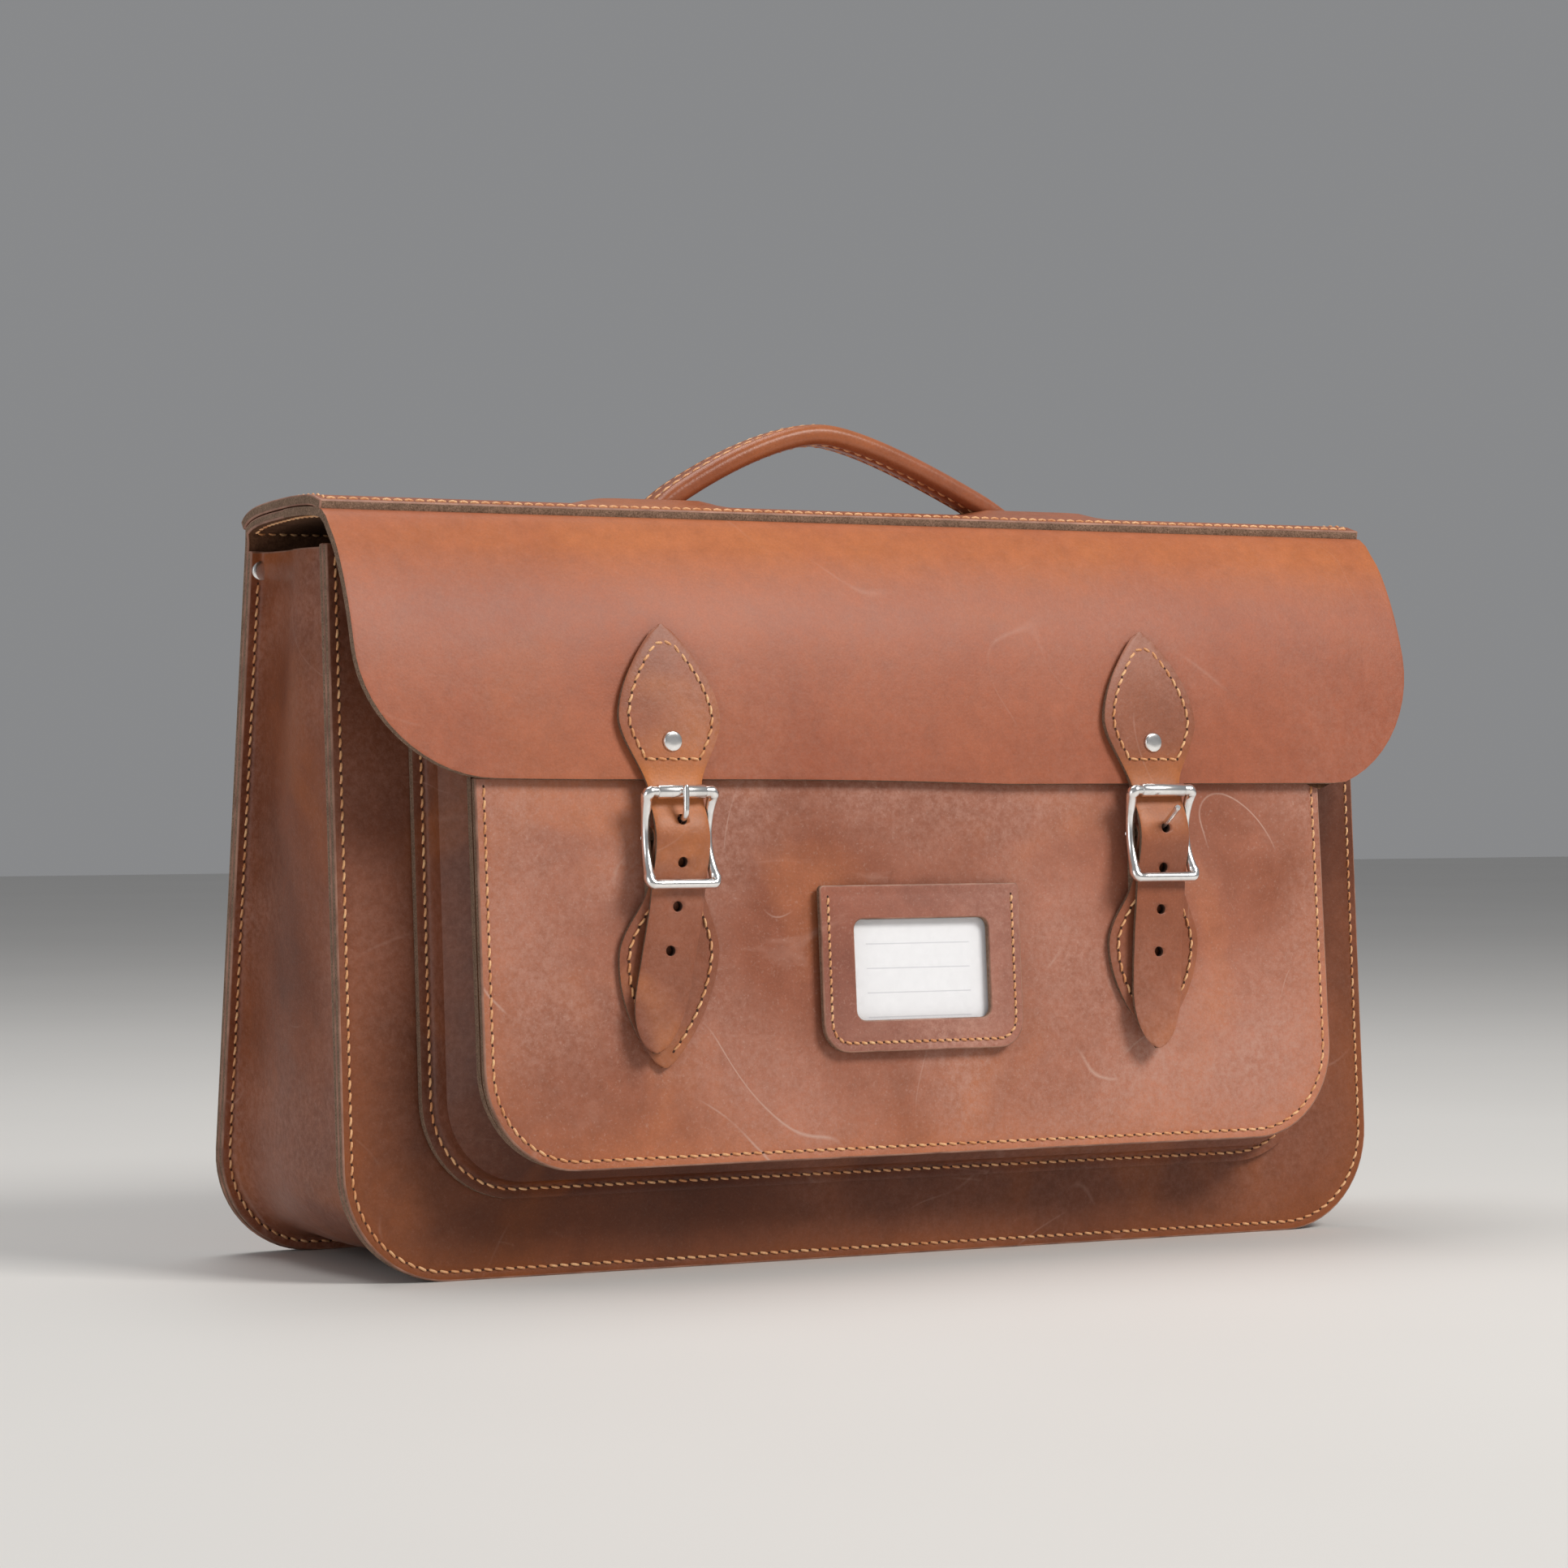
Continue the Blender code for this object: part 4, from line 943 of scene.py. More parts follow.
# --- top strip
TAB_IN, TAB_OUT = HANDLE_HALF_SPAN - 0.004, HANDLE_HALF_SPAN + 0.022     # the handle's ends
TAB_HALF_WIDTH = 0.011
SLOT_OUT = TAB_IN + 0.0045
SLOT_IN = SLOT_OUT - 0.0125
SLOT_HALF = HANDLE_HALF_WIDTH + 0.0016
STRIP_START = 0.0034
STRIP_END = cover_length_at(lambda y, z: y < STRIP_LOW.y)
STRIP_EXTRA = 0.0007         # the strip's leather is this much thicker
STRIP_BORDER = (0.0, 0.0010, 0.0020, STITCH_INSET, 0.0044, 0.0062)


def strip_surface(x, s, depth=0.0):
    """Grain side of the top strip: it follows the cover, swells over the handle's hidden ends
    and is pressed down along its sewn front edge."""
    (y, z), (ny, nz) = cover_at(s)
    off = abs(y - HANDLE_Y)
    out = 1.0 - smoothstep(TAB_OUT - 0.004, TAB_OUT + 0.013, abs(x))
    inner = smoothstep(TAB_IN - 0.026, TAB_IN - 0.012, abs(x))
    wide = 1.0 - smoothstep(TAB_HALF_WIDTH, TAB_HALF_WIDTH + 0.012, off)
    pressed = 0.0011 * (1.0 - smoothstep(0.0, 0.0085, STRIP_END - s))
    height = GAP + LEATHER + STRIP_EXTRA + 0.0026 * out * inner * wide - pressed - depth
    height += ripple((x, s, 2.0), 11.0, 0.00025)
    return Vector((narrowed(x, y), y + ny * height, z + nz * height))


def merge_stations(stops, step):
    """Rising stations that include every stop, with about one step between them."""
    stops = sorted(stops)
    result = []
    for a, b in zip(stops, stops[1:]):
        count = max(1, round((b - a) / step))
        result += [a + (b - a) * k / count for k in range(count)]
    return result + [stops[-1]]


def make_top_strip():
    half = STRIP_HIGH.x
    slot_front = cover_length_at(lambda y, z: y < HANDLE_Y - SLOT_HALF and z > 0.256)
    slot_back = cover_length_at(lambda y, z: y < HANDLE_Y + SLOT_HALF and z > 0.256)
    places = [half - b for b in STRIP_BORDER] + [SLOT_IN, SLOT_OUT, TAB_OUT + 0.014]
    xs = merge_stations([side * x for side in (-1.0, 1.0) for x in places], 0.005)
    ss = [STRIP_START + b for b in STRIP_BORDER] + [STRIP_END - b for b in STRIP_BORDER]
    ss = merge_stations(ss + [slot_back, slot_front], 0.0035)
    rows = []
    for s in ss:
        edge = min(s - STRIP_START, STRIP_END - s)
        rows.append([strip_surface(x, s, groove(min(half - abs(x), edge))) for x in xs])
    bm = grid_bmesh(rows, flip=True)
    middles = [[(a + b) / 2.0 for a, b in zip(stops, stops[1:])] for stops in (ss, xs)]
    cells = [(x, s) for s in middles[0] for x in middles[1]]
    slots = [face for face, (x, s) in zip(bm.faces, cells)
             if SLOT_IN < abs(x) < SLOT_OUT and slot_back < s < slot_front]
    bmesh.ops.delete(bm, geom=slots, context="FACES")
    obj = leather_sheet("top_strip_leather", bm, "handle", LEATHER + STRIP_EXTRA)
    assign(obj, "lid_top", ["top_strip"])
    stitch_top_strip(half - STITCH_INSET)


def stitch_top_strip(reach):
    near, far = STRIP_END - STITCH_INSET, STRIP_START + STITCH_INSET
    corners = [(-reach, near), (reach, near), (reach, far), (-reach, far), (-reach, near)]
    dip = groove(STITCH_INSET)
    rows = []
    for a, b in zip(corners, corners[1:]):
        count = max(2, round(math.dist(a, b) / 0.003))
        flat = [between(a, b, k / count) for k in range(count + 1)]
        normals = [cover_at(s)[1] for _, s in flat]
        up = cover_normal if a[0] == b[0] else facing(0.0, *normals[len(normals) // 2])
        rows.append(([strip_surface(x, s, dip) for x, s in flat], up))
        rows.append(([cover_surface(x, s, LEATHER) for x, s in flat], lambda p, up=up: -up(p)))
    stitching("top_strip_thread", "lid_top", rows)


def cover_normal(point):
    """Outward direction of the cover nearest to a point over its top."""
    def distance(k):
        return abs(COVER[k][0] - point.y) + abs(COVER[k][1] - point.z)

    k = min(range(0, len(COVER), 6), key=distance)
    return Vector((0.0, *cover_at(COVER_LENGTHS[k])[1]))


# --- handle
HANDLE_RISE, HANDLE_POWER = 0.0330, 1.42
HANDLE_HALF_THICK = 0.0043
HANDLE_SIDES, HANDLE_STATIONS, HANDLE_REACH = 48, 96, 1.03
ROW_PLACE = 0.40             # the thread rows' place across the handle, from its middle
ROLL_POWER = 0.85            # how square the section is across
HANDLE_PITCH = 0.0047


def handle_center(u):
    """Centre line of the handle: (x, z) and slope at u, from -1 to 1 across the span."""
    x = u * HANDLE_HALF_SPAN - 0.0065 * max(0.0, 1.0 - u * u)
    soft = math.sqrt(u * u + 0.012)
    z = HANDLE_PIVOT_Z - 0.0055 + HANDLE_RISE * (1.0 - soft**HANDLE_POWER)
    slope = -HANDLE_RISE * HANDLE_POWER * soft ** (HANDLE_POWER - 2.0) * u / HANDLE_HALF_SPAN
    return x, z, math.atan(slope)


def handle_section(u, a):
    """(across, up) on the handle's section at angle a: two rolled edges and sewn-down middle."""
    thin = 1.0 - 0.45 * smoothstep(0.80, 1.05, abs(u))
    c, s = math.cos(a), math.sin(a)
    across = HANDLE_HALF_WIDTH * math.copysign(abs(c) ** ROLL_POWER, c)
    up = HANDLE_HALF_THICK * thin * math.copysign(abs(s) ** 0.70, s)
    t = abs(across) / HANDLE_HALF_WIDTH
    pinch = 0.20 * peak(t, ROW_PLACE, 0.13) + 0.10 * (1.0 - smoothstep(0.0, 0.45, t))
    if s < 0.0:
        pinch += 0.22 * peak(t, 0.0, 0.05)
    return across, up * (1.0 - pinch)


def handle_point(u, a):
    x, z, slope = handle_center(u)
    across, up = handle_section(u, a)
    return Vector((x - up * math.sin(slope), HANDLE_Y + across, z + up * math.cos(slope)))


def handle_row(side, under):
    """One row of the handle's stitches: its path and normal function."""
    a = math.acos(side * ROW_PLACE ** (1.0 / ROLL_POWER)) * (-1.0 if under else 1.0)

    def normal(point):
        slope = handle_center(point.x / HANDLE_HALF_SPAN)[2]
        return Vector((-math.sin(slope), 0.0, math.cos(slope))) * (-1.0 if under else 1.0)

    return [handle_point(0.92 * (2.0 * k / 160 - 1.0), a) for k in range(161)], normal


def make_handle():
    rows = []
    for k in range(HANDLE_STATIONS + 1):
        u = HANDLE_REACH * (2.0 * k / HANDLE_STATIONS - 1.0)
        around = [2.0 * math.pi * (m + 0.5) / HANDLE_SIDES for m in range(HANDLE_SIDES)]
        rows.append([handle_point(u, a) for a in around])
    bm = grid_bmesh(rows, closed=True, pull_up=lambda p: 0.5 * smoothstep(0.285, 0.300, p.z))
    verts = list(bm.verts)
    bm.faces.new(verts[:HANDLE_SIDES][::-1])
    bm.faces.new(verts[-HANDLE_SIDES:])
    bmesh.ops.recalc_face_normals(bm, faces=bm.faces)
    obj = add_piece("rolled_handle", bm, ["handle"])
    nodes = ["handle_cover", "handle_core", "handle_end_left", "handle_end_right"]
    assign_blend(obj, nodes)

    thread = bmesh.new()
    for side in (-1.0, 1.0):
        for under in (False, True):
            stitch_row(thread, *handle_row(side, under), HANDLE_PITCH)
    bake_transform(add_thread("handle_thread", thread))


# --- straps
STRAP_HALF, STRAP_THICK = 0.0102, 0.0028
STRAP_TIP_Z = 0.2215
STRAP_END_Z = {"left": 0.0768, "right": 0.0725}
PATCH_HALF = 0.0194
PATCH_INSET = 0.0034         # thread row to edge, on the patch
HOLES = {"left": (0.1557, 0.1412, 0.1262, 0.1112), "right": (0.1516, 0.1372, 0.1222, 0.1070)}
HOLE_R = 0.0018
TAIL_LEAN = {"left": -0.0120, "right": -0.0036}     # how far a strap's tail swings aside
FLAP_FRONT = sorted((z, y) for y, z in COVER if y < RIDGE_Y)
# Below the flap: how far the strap's middle stands off the pocket, and at what height.
STRAP_OFF = (
    (0.0067, 0.1650), (0.0080, 0.1600), (0.0104, 0.1545), (0.0112, BAR_Z), (0.0104, 0.1440),
    (0.0086, 0.1380), (0.0076, 0.1325), (0.0068, 0.1250), (0.0056, 0.1150), (0.0050, 0.1020),
    (0.0052, 0.0880),
)


def flap_outer_y(z):
    return interpolate(FLAP_FRONT, z)


def strap_path(label):
    """(y, z) at mid-thickness: over the flap, behind the roller, over the bar, down."""
    off_flap = GAP + STRAP_THICK / 2.0
    points = []
    for z in (STRAP_TIP_Z, 0.208, 0.194, 0.181, 0.171):
        slope = (flap_outer_y(z + 0.002) - flap_outer_y(z - 0.002)) / 0.004
        normal = Vector((-1.0, slope)).normalized()
        points.append((flap_outer_y(z) + normal.x * off_flap, z + normal.y * off_flap))
    points += [(pocket_face(z) - off, z) for off, z in (*STRAP_OFF, (0.0062, STRAP_END_Z[label]))]
    return resample(points, 150)


def blunt(gap, radius, width):
    """Rounds off the point of a leaf: half-width this far from its end, where it would be width."""
    gap = max(gap, 0.0)
    return math.sqrt(2.0 * radius * gap - gap * gap) if gap < 0.3 * radius else width


def strap_half_width(label, z):
    """Leaf-shaped patch above the flap's edge, plain strap below it, rounded tail."""
    if z > 0.190:
        t = (z - 0.190) / (STRAP_TIP_Z + 0.0017 - 0.190)
        return blunt(STRAP_TIP_Z - z, 0.0040, PATCH_HALF * max(0.0, 1.0 - t**1.75) ** 0.92)
    if z > 0.164:
        return STRAP_HALF + (PATCH_HALF - STRAP_HALF) * smoothstep(0.1655, 0.1905, z) ** 0.9
    t = min(1.0, max(0.0, (z - STRAP_END_Z[label]) / 0.022))
    return STRAP_HALF * (1.0 - (1.0 - t) ** 2.1) ** 0.53


def tail_shift(label, z):
    return TAIL_LEAN[label] * (1.0 - smoothstep(0.0600, 0.1480, z)) ** 1.2


def ribbon(path, half_width, thickness, place):
    """Grain-side rows of a strap along path, (y, z) at mid-thickness, seen from the front.

    Its long edges are rounded over; half_width(k, z) and place(z) give its width and centre.
    """
    half_shares = (0.32, 0.60, 0.80, 0.90, 0.96, 1.0)
    shares = [-s for s in reversed(half_shares)] + [0.0, *half_shares]
    rows = []
    for k, (y, z) in enumerate(path):
        dy, dz = direction_at(path, k)
        half = max(0.0008, half_width(k, z))
        row = []
        for share in shares:
            lift = thickness / 2.0 - 0.00055 * abs(share) ** 7
            row.append((place(z) + share * half, y + dz * lift, z - dy * lift))
        rows.append(row)
    return rows


def punch(obj, x, y, z):
    """A punched hole along Y; its wall takes the dark hole colour, painted shade inside the hole.
    """
    bm = bmesh.new()
    sizes = {"radius1": HOLE_R, "radius2": HOLE_R, "depth": 0.012}
    bmesh.ops.create_cone(bm, cap_ends=True, segments=20, **sizes)
    turn = Matrix.Translation((x, y, z)) @ Matrix.Rotation(math.pi / 2.0, 4, "X")
    bmesh.ops.transform(bm, matrix=turn, verts=bm.verts)
    subtract(obj, bm, "hole")


def strap_front(path, z):
    """y of a strap's grain side at height z."""
    k = min(range(len(path)), key=lambda i: abs(path[i][1] - z))
    dy, dz = direction_at(path, k)
    return path[k][0] + (z - path[k][1]) * dy / dz + dz * STRAP_THICK / 2.0


def leaf_rows(half_width, place, front, bottom, top, inset, steps=60):
    """Points up the left and the right side of a leaf-shaped patch, this far inside its edge."""
    left, right = [], []
    for k in range(steps + 1):
        z = bottom + (top - bottom) * k / steps
        slope = (half_width(z + 0.0005) - half_width(z - 0.0005)) / 0.001
        reach = max(0.0, half_width(z) - inset * math.hypot(1.0, slope))
        left.append((place(z) - reach, front(z), z))
        right.append((place(z) + reach, front(z), z))
    return left, right


def make_strap(label, x):
    path = strap_path(label)
    half_width = partial(strap_half_width, label)

    def place(z):
        return x + tail_shift(label, z)

    def pull_up(p):
        """Oil shows at the bends over the flap's edge and under the prong."""
        return 0.95 * peak(p.z, 0.168, 0.009) + 0.45 * peak(p.z, 0.155, 0.006)

    rows = ribbon(path, lambda k, z: half_width(z), STRAP_THICK, place)
    bm = grid_bmesh(rows, flip=True, pull_up=pull_up)
    obj = leather_sheet(f"strap_leather_{label}", bm, "strap", STRAP_THICK, 0.0005)
    for z in HOLES[label]:
        punch(obj, place(z), pocket_face(z) - 0.008, z)
    assign(obj, "flap", [f"flap_strap_{label}"])

    left, right = leaf_rows(half_width, lambda z: x, partial(strap_front, path), 0.1762,
                            STRAP_TIP_Z - 1.5 * PATCH_INSET, PATCH_INSET)
    tip_z = STRAP_TIP_Z - 0.0052
    tip = (x, strap_front(path, tip_z), tip_z)
    base = even_points([left[0], right[0]], 10)
    behind = STRAP_THICK + LEATHER + 0.0006
    paths = [left + [tip], [tip] + right[::-1], base]
    rows = [(row, facing(0.0, -1.0, 0.15)) for row in paths]
    rows += [([(px, y + behind, z) for px, y, z in row], facing(*BACKWARD)) for row in paths]
    stitching(f"strap_thread_{label}", "flap", rows)


# --- chapes
CHAPE_TIP_Z = {"left": 0.0715, "right": 0.0765}
CHAPE_THICK = 0.0024
CHAPE_HALF, CHAPE_NECK_HALF = 0.0190, 0.0095
CHAPE_INSET = 0.0032
CHAPE_SLOT = (0.0048, 0.020, 0.0125)     # opening for the prong: width, depth, height
BAR_R = 0.0015


def chape_path(label):
    """(y, z) at mid-thickness: up the pocket, round the bar, and down behind itself."""
    half = CHAPE_THICK / 2.0
    flat = GAP + half
    wrap = BAR_R + GAP + half
    points = [(flat, CHAPE_TIP_Z[label]), (flat, 0.090), (flat, 0.106), (0.0022, 0.118),
              (0.0042, 0.128), (0.0046, 0.137), (0.0062, 0.1435)]
    for k in range(9):
        angle = math.radians(200.0 * k / 8.0 - 10.0)
        points.append((BAR_OFF + wrap * math.cos(angle), BAR_Z + wrap * math.sin(angle)))
    points += [(0.0019, 0.142), (flat, 0.135), (flat, 0.128)]
    return resample([(pocket_face(z) - off, z) for off, z in points], 130)


def chape_half_width(label, z):
    tip = CHAPE_TIP_Z[label]
    if z < 0.110:
        share = (abs(0.110 - z) / (0.110 - tip + 0.0014)) ** 1.9
        return blunt(z - tip, 0.0036, CHAPE_HALF * max(0.0, 1.0 - share) ** 0.85)
    narrowing = 1.0 - smoothstep(0.110, 0.137, z)
    return CHAPE_NECK_HALF + (CHAPE_HALF - CHAPE_NECK_HALF) * narrowing


def make_chape(label, x):
    path = chape_path(label)
    turn = max(range(len(path)), key=lambda k: path[k][1])
    half_width = partial(chape_half_width, label)

    def place(z):
        return x + 0.45 * tail_shift(label, z)

    def front(z):
        k = min(range(turn), key=lambda i: abs(path[i][1] - z))
        return path[k][0] - CHAPE_THICK / 2.0 - 0.0001

    rows = ribbon(path, lambda k, z: CHAPE_NECK_HALF if k >= turn else half_width(z),
                  CHAPE_THICK, place)
    rows = [[(px, 2.0 * y - py, 2.0 * z - pz) for px, py, pz in row]
            for row, (y, z) in zip(rows, path)]
    obj = leather_sheet(f"chape_leather_{label}", grid_bmesh(rows), "strap", CHAPE_THICK, 0.0005)
    slot = bmesh.new()
    bmesh.ops.create_cube(slot, size=1.0)
    bmesh.ops.scale(slot, vec=CHAPE_SLOT, verts=slot.verts)
    middle = (x, pocket_face(BAR_Z) - BAR_OFF, BAR_Z + 0.0005)
    bmesh.ops.translate(slot, vec=middle, verts=slot.verts)
    subtract(obj, slot, "edge")
    assign(obj, "bag", [f"chape_{label}"])

    bottom = CHAPE_TIP_Z[label] + 0.0055
    sides = leaf_rows(half_width, place, front, bottom, 0.1340, CHAPE_INSET)
    stitching(f"chape_thread_{label}", "bag", [(side, facing(*FORWARD)) for side in sides])


# --- buckles
WIRE_R = 0.0016
FRAME_HALF_X, FRAME_HALF_Z = 0.0142 - WIRE_R, 0.0172 - WIRE_R
FRAME_CORNER, FRAME_WAIST = 0.0017, 0.0008
TOP_OFF, MID_OFF = 0.0114, 0.0070        # the frame's distance off the pocket
ROLLER_R, ROLLER_HALF = 0.0024, 0.0090
# Half of the roller: distance in from its end, and radius. The lips are rounded.
ROLLER_LIP = ((0.0, 0.00178), (-0.0001, 0.0021), (0.0003, 0.0024))
PRONG_R, PRONG_EYE = 0.0011, 0.0027


def swept(points, radii, closed, sides=18):
    """A round bar through points with its own radius at each, as smooth metal."""
    bm = bmesh.new()
    count = len(points)
    rings = []
    reference = Vector(BACKWARD)
    for k in range(count):
        after = points[(k + 1) % count] if closed else points[min(k + 1, count - 1)]
        before = points[k - 1] if closed else points[max(k - 1, 0)]
        along = (Vector(after) - Vector(before)).normalized()
        first = reference - along * reference.dot(along)
        if first.length < 0.2:
            first = Vector((1.0, 0.0, 0.0))
        first.normalize()
        rings.append(ring(bm, Vector(points[k]), first, along.cross(first), radii[k], sides))
    loft(bm, rings, closed)
    if not closed:
        bm.faces.new(rings[0])
        bm.faces.new(rings[-1])
    return bm


def frame_loop():
    """(x, z, share of the wire's radius) round the buckle: straight bars, tight corners and
    waisted sides that swell towards the corners."""

    def corner(start, middle_z, scale):
        turned = [math.radians(start - 15.0 * k) for k in range(1, 6)]
        return [(FRAME_HALF_X - FRAME_CORNER + FRAME_CORNER * math.cos(a),
                 middle_z + FRAME_CORNER * math.sin(a), scale) for a in turned]

    high = FRAME_HALF_Z - FRAME_CORNER
    right = corner(90.0, high, 1.42)
    for k in range(19):
        t = 1.0 - 2.0 * k / 18.0
        right.append((FRAME_HALF_X - FRAME_WAIST * (1.0 - t * t), t * high, 1.02 + 0.30 * t**4))
    right += corner(0.0, -high, 1.22)
    reach = FRAME_HALF_X - FRAME_CORNER
    top = [(-reach + 2.0 * reach * k / 12.0, FRAME_HALF_Z, 0.84 if 1 < k < 11 else 1.25)
           for k in range(13)]
    bottom = [(reach - 2.0 * reach * k / 10.0, -FRAME_HALF_Z, 1.12) for k in range(11)]
    return top + right + bottom + [(-x, z, scale) for x, z, scale in reversed(right)]


def make_buckle(label, x):
    points, radii = [], []
    for dx, dz, scale in frame_loop():
        z, t = BAR_Z + dz, dz / FRAME_HALF_Z
        points.append((x + dx, pocket_face(z) - MID_OFF - (TOP_OFF - MID_OFF) * t * t, z))
        radii.append(WIRE_R * scale)
    frame_mesh = swept(points, radii, True)
    bar_y = pocket_face(BAR_Z) - BAR_OFF
    reach = FRAME_HALF_X - 0.0004
    bar_points = []
    for k in range(13):
        t = 2.0 * k / 12.0 - 1.0
        lift = (MID_OFF - BAR_OFF) * smoothstep(0.80, 1.0, abs(t))
        bar_points.append((x + reach * t, bar_y - lift, BAR_Z))
    join_bmesh(frame_mesh, swept(bar_points, [BAR_R] * len(bar_points), False))
    add_metal(f"buckle_bow_{label}", frame_mesh, f"buckle_{label}", f"buckle_frame_{label}")

    roller_z = BAR_Z + FRAME_HALF_Z
    roller_y = pocket_face(roller_z) - TOP_OFF
    make_roller(label, x, roller_y, roller_z)
    make_prong(label, x, bar_y, roller_y, roller_z)


def join_bmesh(target, source):
    mesh = bpy.data.meshes.new("scratch")
    source.to_mesh(mesh)
    source.free()
    target.from_mesh(mesh)
    bpy.data.meshes.remove(mesh)


def make_roller(label, x, y, z):
    """A rolled sheet-metal tube with rounded lips and a fine butt seam."""
    profile = [(inward - ROLLER_HALF, radius) for inward, radius in ROLLER_LIP]
    profile += [(0.0, 0.00238)] + [(-along, radius) for along, radius in reversed(profile)]
    bm = bmesh.new()
    rings = []
    for along, radius in profile:
        spots = [(a, radius - (0.00012 if a == 0.0 else 0.0)) for a in turns(40)]
        rings.append([bm.verts.new((x + along, y + r * math.cos(a), z + r * math.sin(a)))
                      for a, r in spots])
    loft(bm, rings, closed=True)
    add_metal(f"roller_tube_{label}", bm, f"roller_{label}", f"buckle_roller_{label}", 50.0)


def make_prong(label, x, bar_y, roller_y, roller_z):
    """Tongue of bent wire: an eye round the bar, then out through the strap to the roller.

    The right one isn't pulled home: it stands out of its hole."""
    tip_off = bar_y - (roller_y - ROLLER_R - GAP - PRONG_R)
    offsets = []
    for k in range(14):
        a = math.radians(70.0 - 315.0 * (1.0 - k / 13.0))
        offsets.append((PRONG_EYE * math.cos(a), PRONG_EYE * math.sin(a)))
    offsets += {
        "left": [(0.0024, 0.0050), (0.0040, 0.0060), (0.0062, 0.0064), (0.0085, 0.0080),
                 (tip_off, 0.0112), (tip_off, roller_z + 0.0022 - BAR_Z)],
        "right": [(0.0038, 0.0021), (0.0070, 0.0038), (0.0110, 0.0065), (0.0152, 0.0096)],
    }[label]
    smooth = resample([(bar_y - out, BAR_Z + up) for out, up in offsets], 70)
    radii = [0.0009 + 0.0002 * smoothstep(0.4, 0.6, k / 70.0) for k in range(len(smooth))]
    radii[-2:] = [PRONG_R * 0.95, PRONG_R * 0.80]
    bm = swept([(x, y, z) for y, z in smooth], radii, False, 14)
    add_metal(f"prong_wire_{label}", bm, f"prong_{label}", f"buckle_prong_{label}")


# --- card holder
HOLDER_R, HOLDER_THICK = 0.010, 0.0024
HOLDER_PITCH = 0.0031
WINDOW_HALF, WINDOW_BOTTOM, WINDOW_TOP, WINDOW_R = 0.0272, 0.0855, 0.1205, 0.0035
SHARP_R = 0.0015             # radius of a corner that isn't rounded


def ring_outline(half, bottom, top, radius, bottom_only=False, per_corner=6):
    """Points round a rectangle with round corners, the same count for every size."""
    points = []
    top_r = SHARP_R if bottom_only else radius
    for side, height, start, r in (
        (-1.0, bottom + radius, 180.0, radius),
        (1.0, bottom + radius, 270.0, radius),
        (1.0, top - top_r, 0.0, top_r),
        (-1.0, top - top_r, 90.0, top_r),
    ):
        for k in range(per_corner + 1):
            a = math.radians(start + 90.0 * k / per_corner)
            points.append((side * (half - r) + r * math.cos(a), height + r * math.sin(a)))
    return points


def densify(points, extra=12):
    """The closed loop with extra points on every span longer than a corner's."""
    result = []
    for a, b in zip(points, points[1:] + points[:1]):
        steps = extra if math.dist(a, b) > 0.008 else 1
        result += [between(a, b, m / steps) for m in range(steps)]
    return result


def make_card_holder():
    center, half = (HOLDER_HIGH.x + HOLDER_LOW.x) / 2.0, (HOLDER_HIGH.x - HOLDER_LOW.x) / 2.0
    bottom, top = HOLDER_LOW.z, HOLDER_HIGH.z
    off = pocket_face(bottom) - HOLDER_LOW.y

    def place(x, z, dip):
        return center + x, pocket_face(z) - off + dip, z

    rows = []
    for inset in (0.0, 0.0012, 0.0022, STITCH_INSET, 0.0042):
        radius = max(HOLDER_R - inset, 0.002)
        loop = ring_outline(half - inset, bottom + inset, top - inset, radius, True)
        rows.append([place(x, z, groove(inset)) for x, z in densify(loop)])
    for grow in (0.0036, 0.0022, 0.0010, 0.0):
        sizes = (WINDOW_HALF + grow, WINDOW_BOTTOM - grow, WINDOW_TOP + grow, WINDOW_R + grow)
        rows.append([place(x, z, 0.0) for x, z in densify(ring_outline(*sizes))])
    bm = grid_bmesh(rows, closed=True)
    obj = leather_sheet("card_holder_leather", bm, "holder", HOLDER_THICK, 0.0005, False)
    assign(obj, "bag", ["card_holder"])
    line = u_seam(half, bottom, top, HOLDER_R, 0.004)
    path = [place(x, z, groove(STITCH_INSET)) for x, z in line]
    stitching("card_holder_thread", "bag", [(path, facing(*FORWARD))], HOLDER_PITCH)


def thin_card(name, source, look, body, thickness, radius, bulge=0.0, steps=24):
    """A thin sheet with rounded corners where the CAD sheet lies, very slightly curled."""
    low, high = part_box(source)
    off = pocket_face(low.z) - low.y
    center, half = (high.x + low.x) / 2.0, (high.x - low.x) / 2.0
    rows = []
    for j in range(steps + 1):
        z = low.z + (high.z - low.z) * j / steps
        edge = min(z - low.z, high.z - z)
        shrink = radius - math.sqrt(max(0.0, radius**2 - max(0.0, radius - edge) ** 2))
        row = []
        for i in range(steps + 1):
            x = center + (half - shrink) * (2.0 * i / steps - 1.0)
            curl = bulge * math.sin(math.pi * i / steps) * math.sin(math.pi * j / steps)
            row.append((x, pocket_face(z) - off + 0.00005 + curl, z))
        rows.append(row)
    obj = add_piece(name, grid_bmesh(rows), [look])
    thicken(obj, thickness)
    bake_modifiers(obj)
    assign(obj, body, [source])


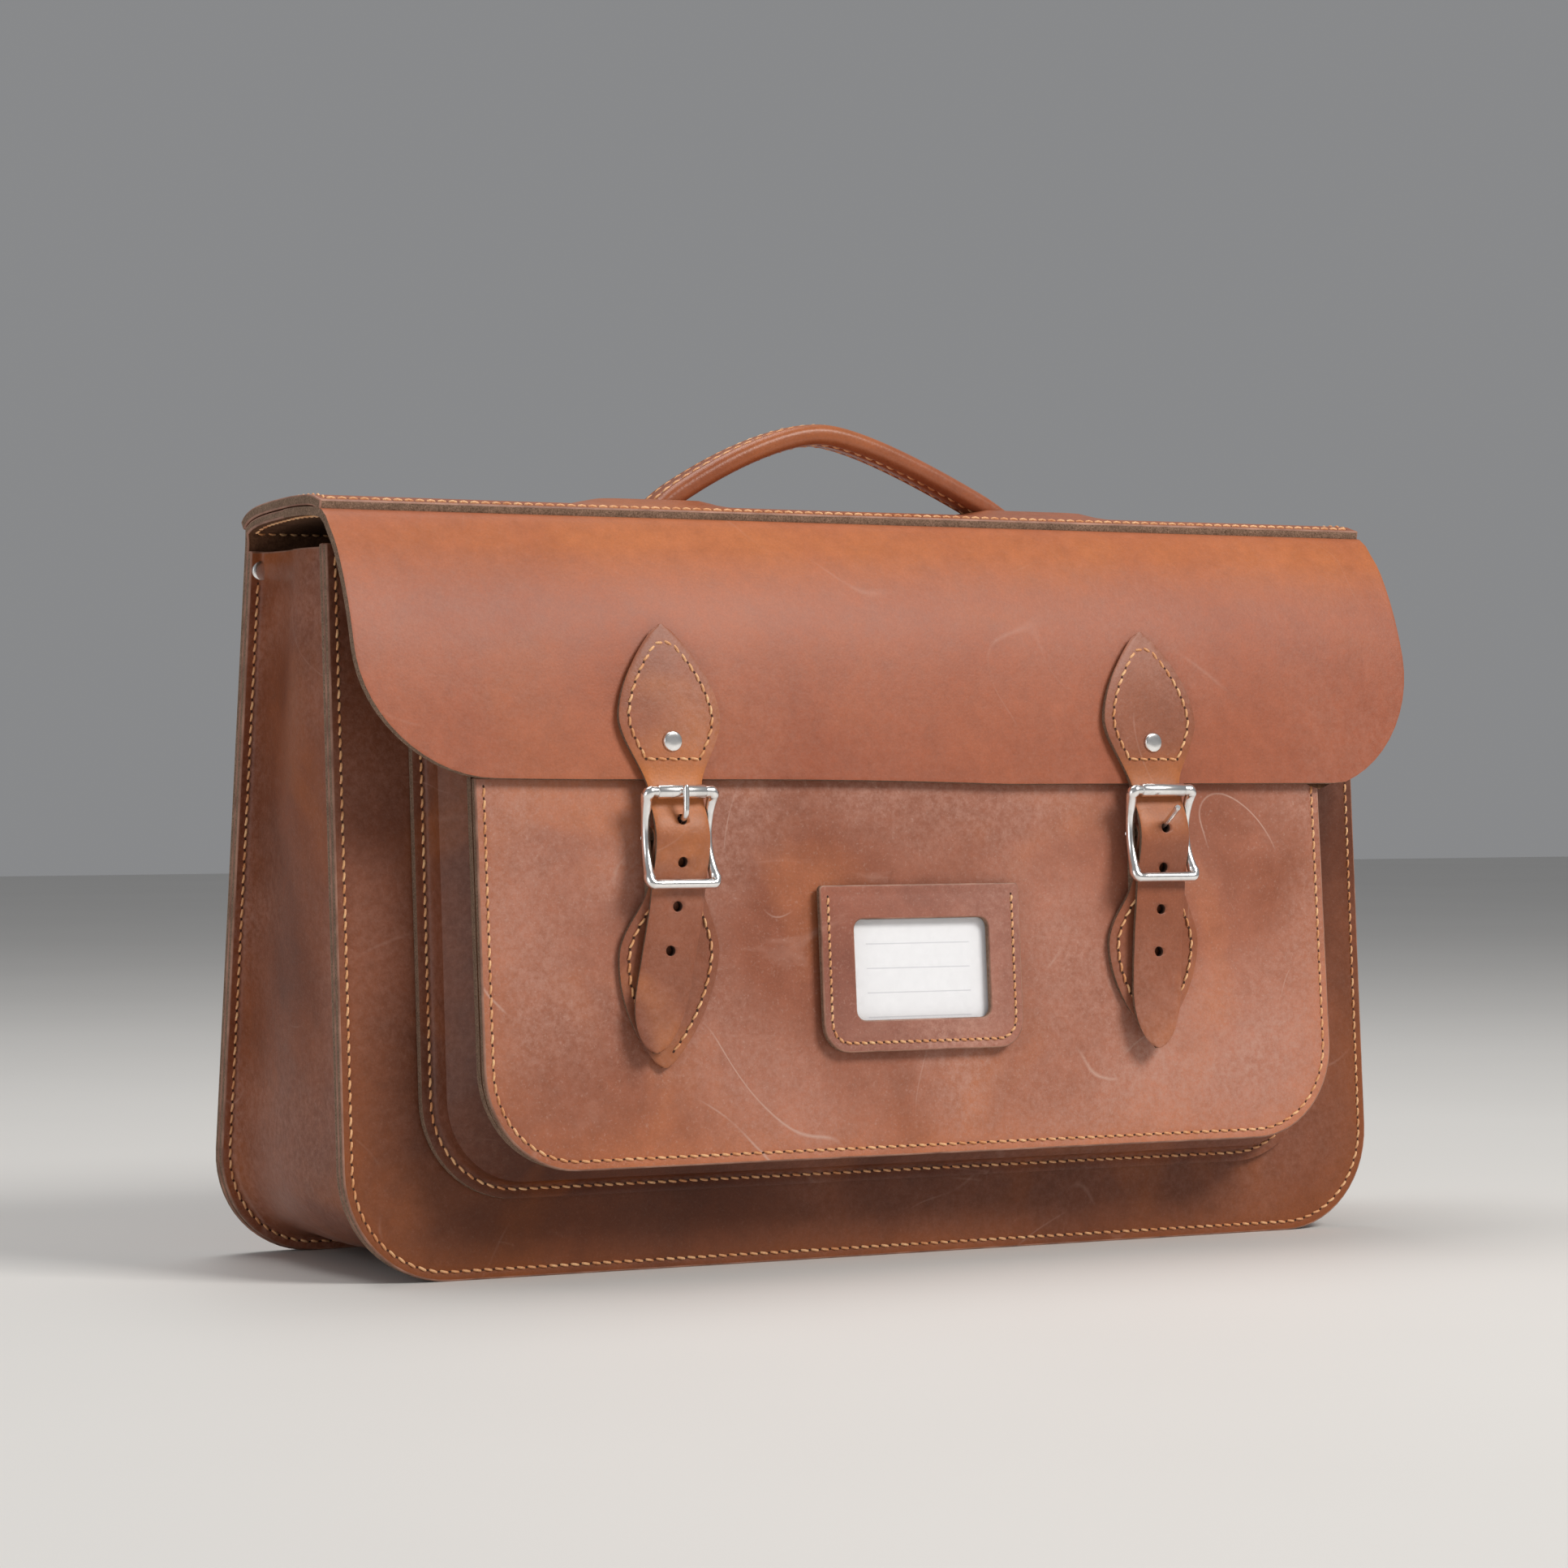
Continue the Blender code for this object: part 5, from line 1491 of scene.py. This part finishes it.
# --- rivets
def make_rivet(source, body):
    """A domed cap with a rolled rim, standing where the CAD cap stands."""
    low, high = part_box(source)
    center = (low + high) / 2.0
    out = 1.0 if "seam_rivet_front" in source else -1.0
    radius = (high.x - low.x) / 2.0
    height = high.y - low.y - 0.0002
    base = low.y if out > 0.0 else high.y
    profile = [(0.99, -0.1), (1.0, 0.10), (0.985, 0.26), (0.94, 0.38)]
    for k in range(1, 9):
        a = math.radians(90.0 * k / 9.0)
        profile.append((0.94 * math.cos(a) ** 0.75, 0.38 + 0.34 * math.sin(a)))
    bm = bmesh.new()
    rings = []
    right, up = Vector((1.0, 0.0, 0.0)), Vector((0.0, 0.0, 1.0))
    for r, h in profile:
        middle = Vector((center.x, base + out * h * height, center.z))
        rings.append(ring(bm, middle, right, up, r * radius, 40))
    loft(bm, rings)
    bm.faces.new(rings[-1])
    add_metal(f"{source}_cap", bm, body, source)


# --- studio
PHOTO_SIZE, FOCAL_PIXELS, SENSOR = 1932.0, 5499.0, 36.0
CAMERA_PLACE = (-0.803, FRONT_Y - 1.371, 0.170)
CAMERA_YAW, CAMERA_PITCH, CAMERA_ROLL = -29.0, -0.09, -0.09      # degrees
LIGHTS = {       # place, size, power and colour
    "key": ((0.95, -1.75, 1.75), (1.0, 0.8), 49.0, (1.0, 0.97, 0.93)),
    "fill": ((-2.2, -0.9, 0.5), (0.9, 1.3), 9.0, (0.98, 0.97, 0.97)),
    "top": ((-0.2, 0.5, 1.9), (1.4, 0.9), 17.0, (1.0, 0.98, 0.96)),
}
LIGHT_TARGET = (0.0, 0.0, 0.14)


def make_floor():
    look = Look("pale_floor")
    color = look.mix(look.noise(2.0, 3.0), (0.66, 0.65, 0.63), (0.72, 0.71, 0.69))
    material = look.finish(color, 0.6)
    bm = bmesh.new()
    bmesh.ops.create_grid(bm, x_segments=8, y_segments=8, size=6.0)
    mesh = bpy.data.meshes.new("floor")
    bm.to_mesh(mesh)
    bm.free()
    mesh.materials.append(material)
    add_object("floor", mesh)


def make_lights():
    for name, (place, size, power, color) in LIGHTS.items():
        data = bpy.data.lights.new(name, "AREA")
        data.shape = "RECTANGLE"
        data.size, data.size_y = size
        data.energy = power
        data.color = color
        obj = add_object(name, data)
        obj.location = place
        way = Vector(LIGHT_TARGET) - Vector(place)
        obj.rotation_euler = way.to_track_quat("-Z", "Y").to_euler()
    world = bpy.data.worlds.new("studio")
    bpy.context.scene.world = world
    world.use_nodes = True
    back = world.node_tree.nodes["Background"]
    back.inputs["Color"].default_value = (0.80, 0.81, 0.83, 1.0)
    back.inputs["Strength"].default_value = 0.31
    bpy.context.scene.view_settings.view_transform = "Standard"


def make_camera():
    data = bpy.data.cameras.new("camera")
    data.sensor_width = SENSOR
    data.lens = SENSOR * FOCAL_PIXELS / PHOTO_SIZE
    data.clip_start = 0.05
    obj = add_object("camera", data)
    yaw, pitch, roll = (math.radians(a) for a in (CAMERA_YAW, CAMERA_PITCH, CAMERA_ROLL))
    turn = Matrix.Rotation(yaw, 4, "Z") @ Matrix.Rotation(math.pi / 2.0 + pitch, 4, "X")
    obj.matrix_world = Matrix.Translation(CAMERA_PLACE) @ turn @ Matrix.Rotation(roll, 4, "Z")
    bpy.context.scene.camera = obj


# --- build
make_camera()
make_lights()
make_floor()
make_back()
make_flap()
make_panels()
make_gussets()
body_stitching()
make_top_strip()
make_handle()
for side_label, strap_x in STRAP_X.items():
    make_strap(side_label, strap_x)
    make_chape(side_label, strap_x)
    make_buckle(side_label, strap_x)
make_card_holder()
thin_card("ruled_name_card", "name_card", "card", "card", 0.0003, 0.002, -0.00005)
thin_card("clear_card_window", "card_window", "window", "bag", 0.0002, 0.004)
for side_label in STRAP_X:
    make_rivet(f"strap_rivet_{side_label}", "flap")
    for end in ("front", "back"):
        make_rivet(f"seam_rivet_{end}_{side_label}", "bag")
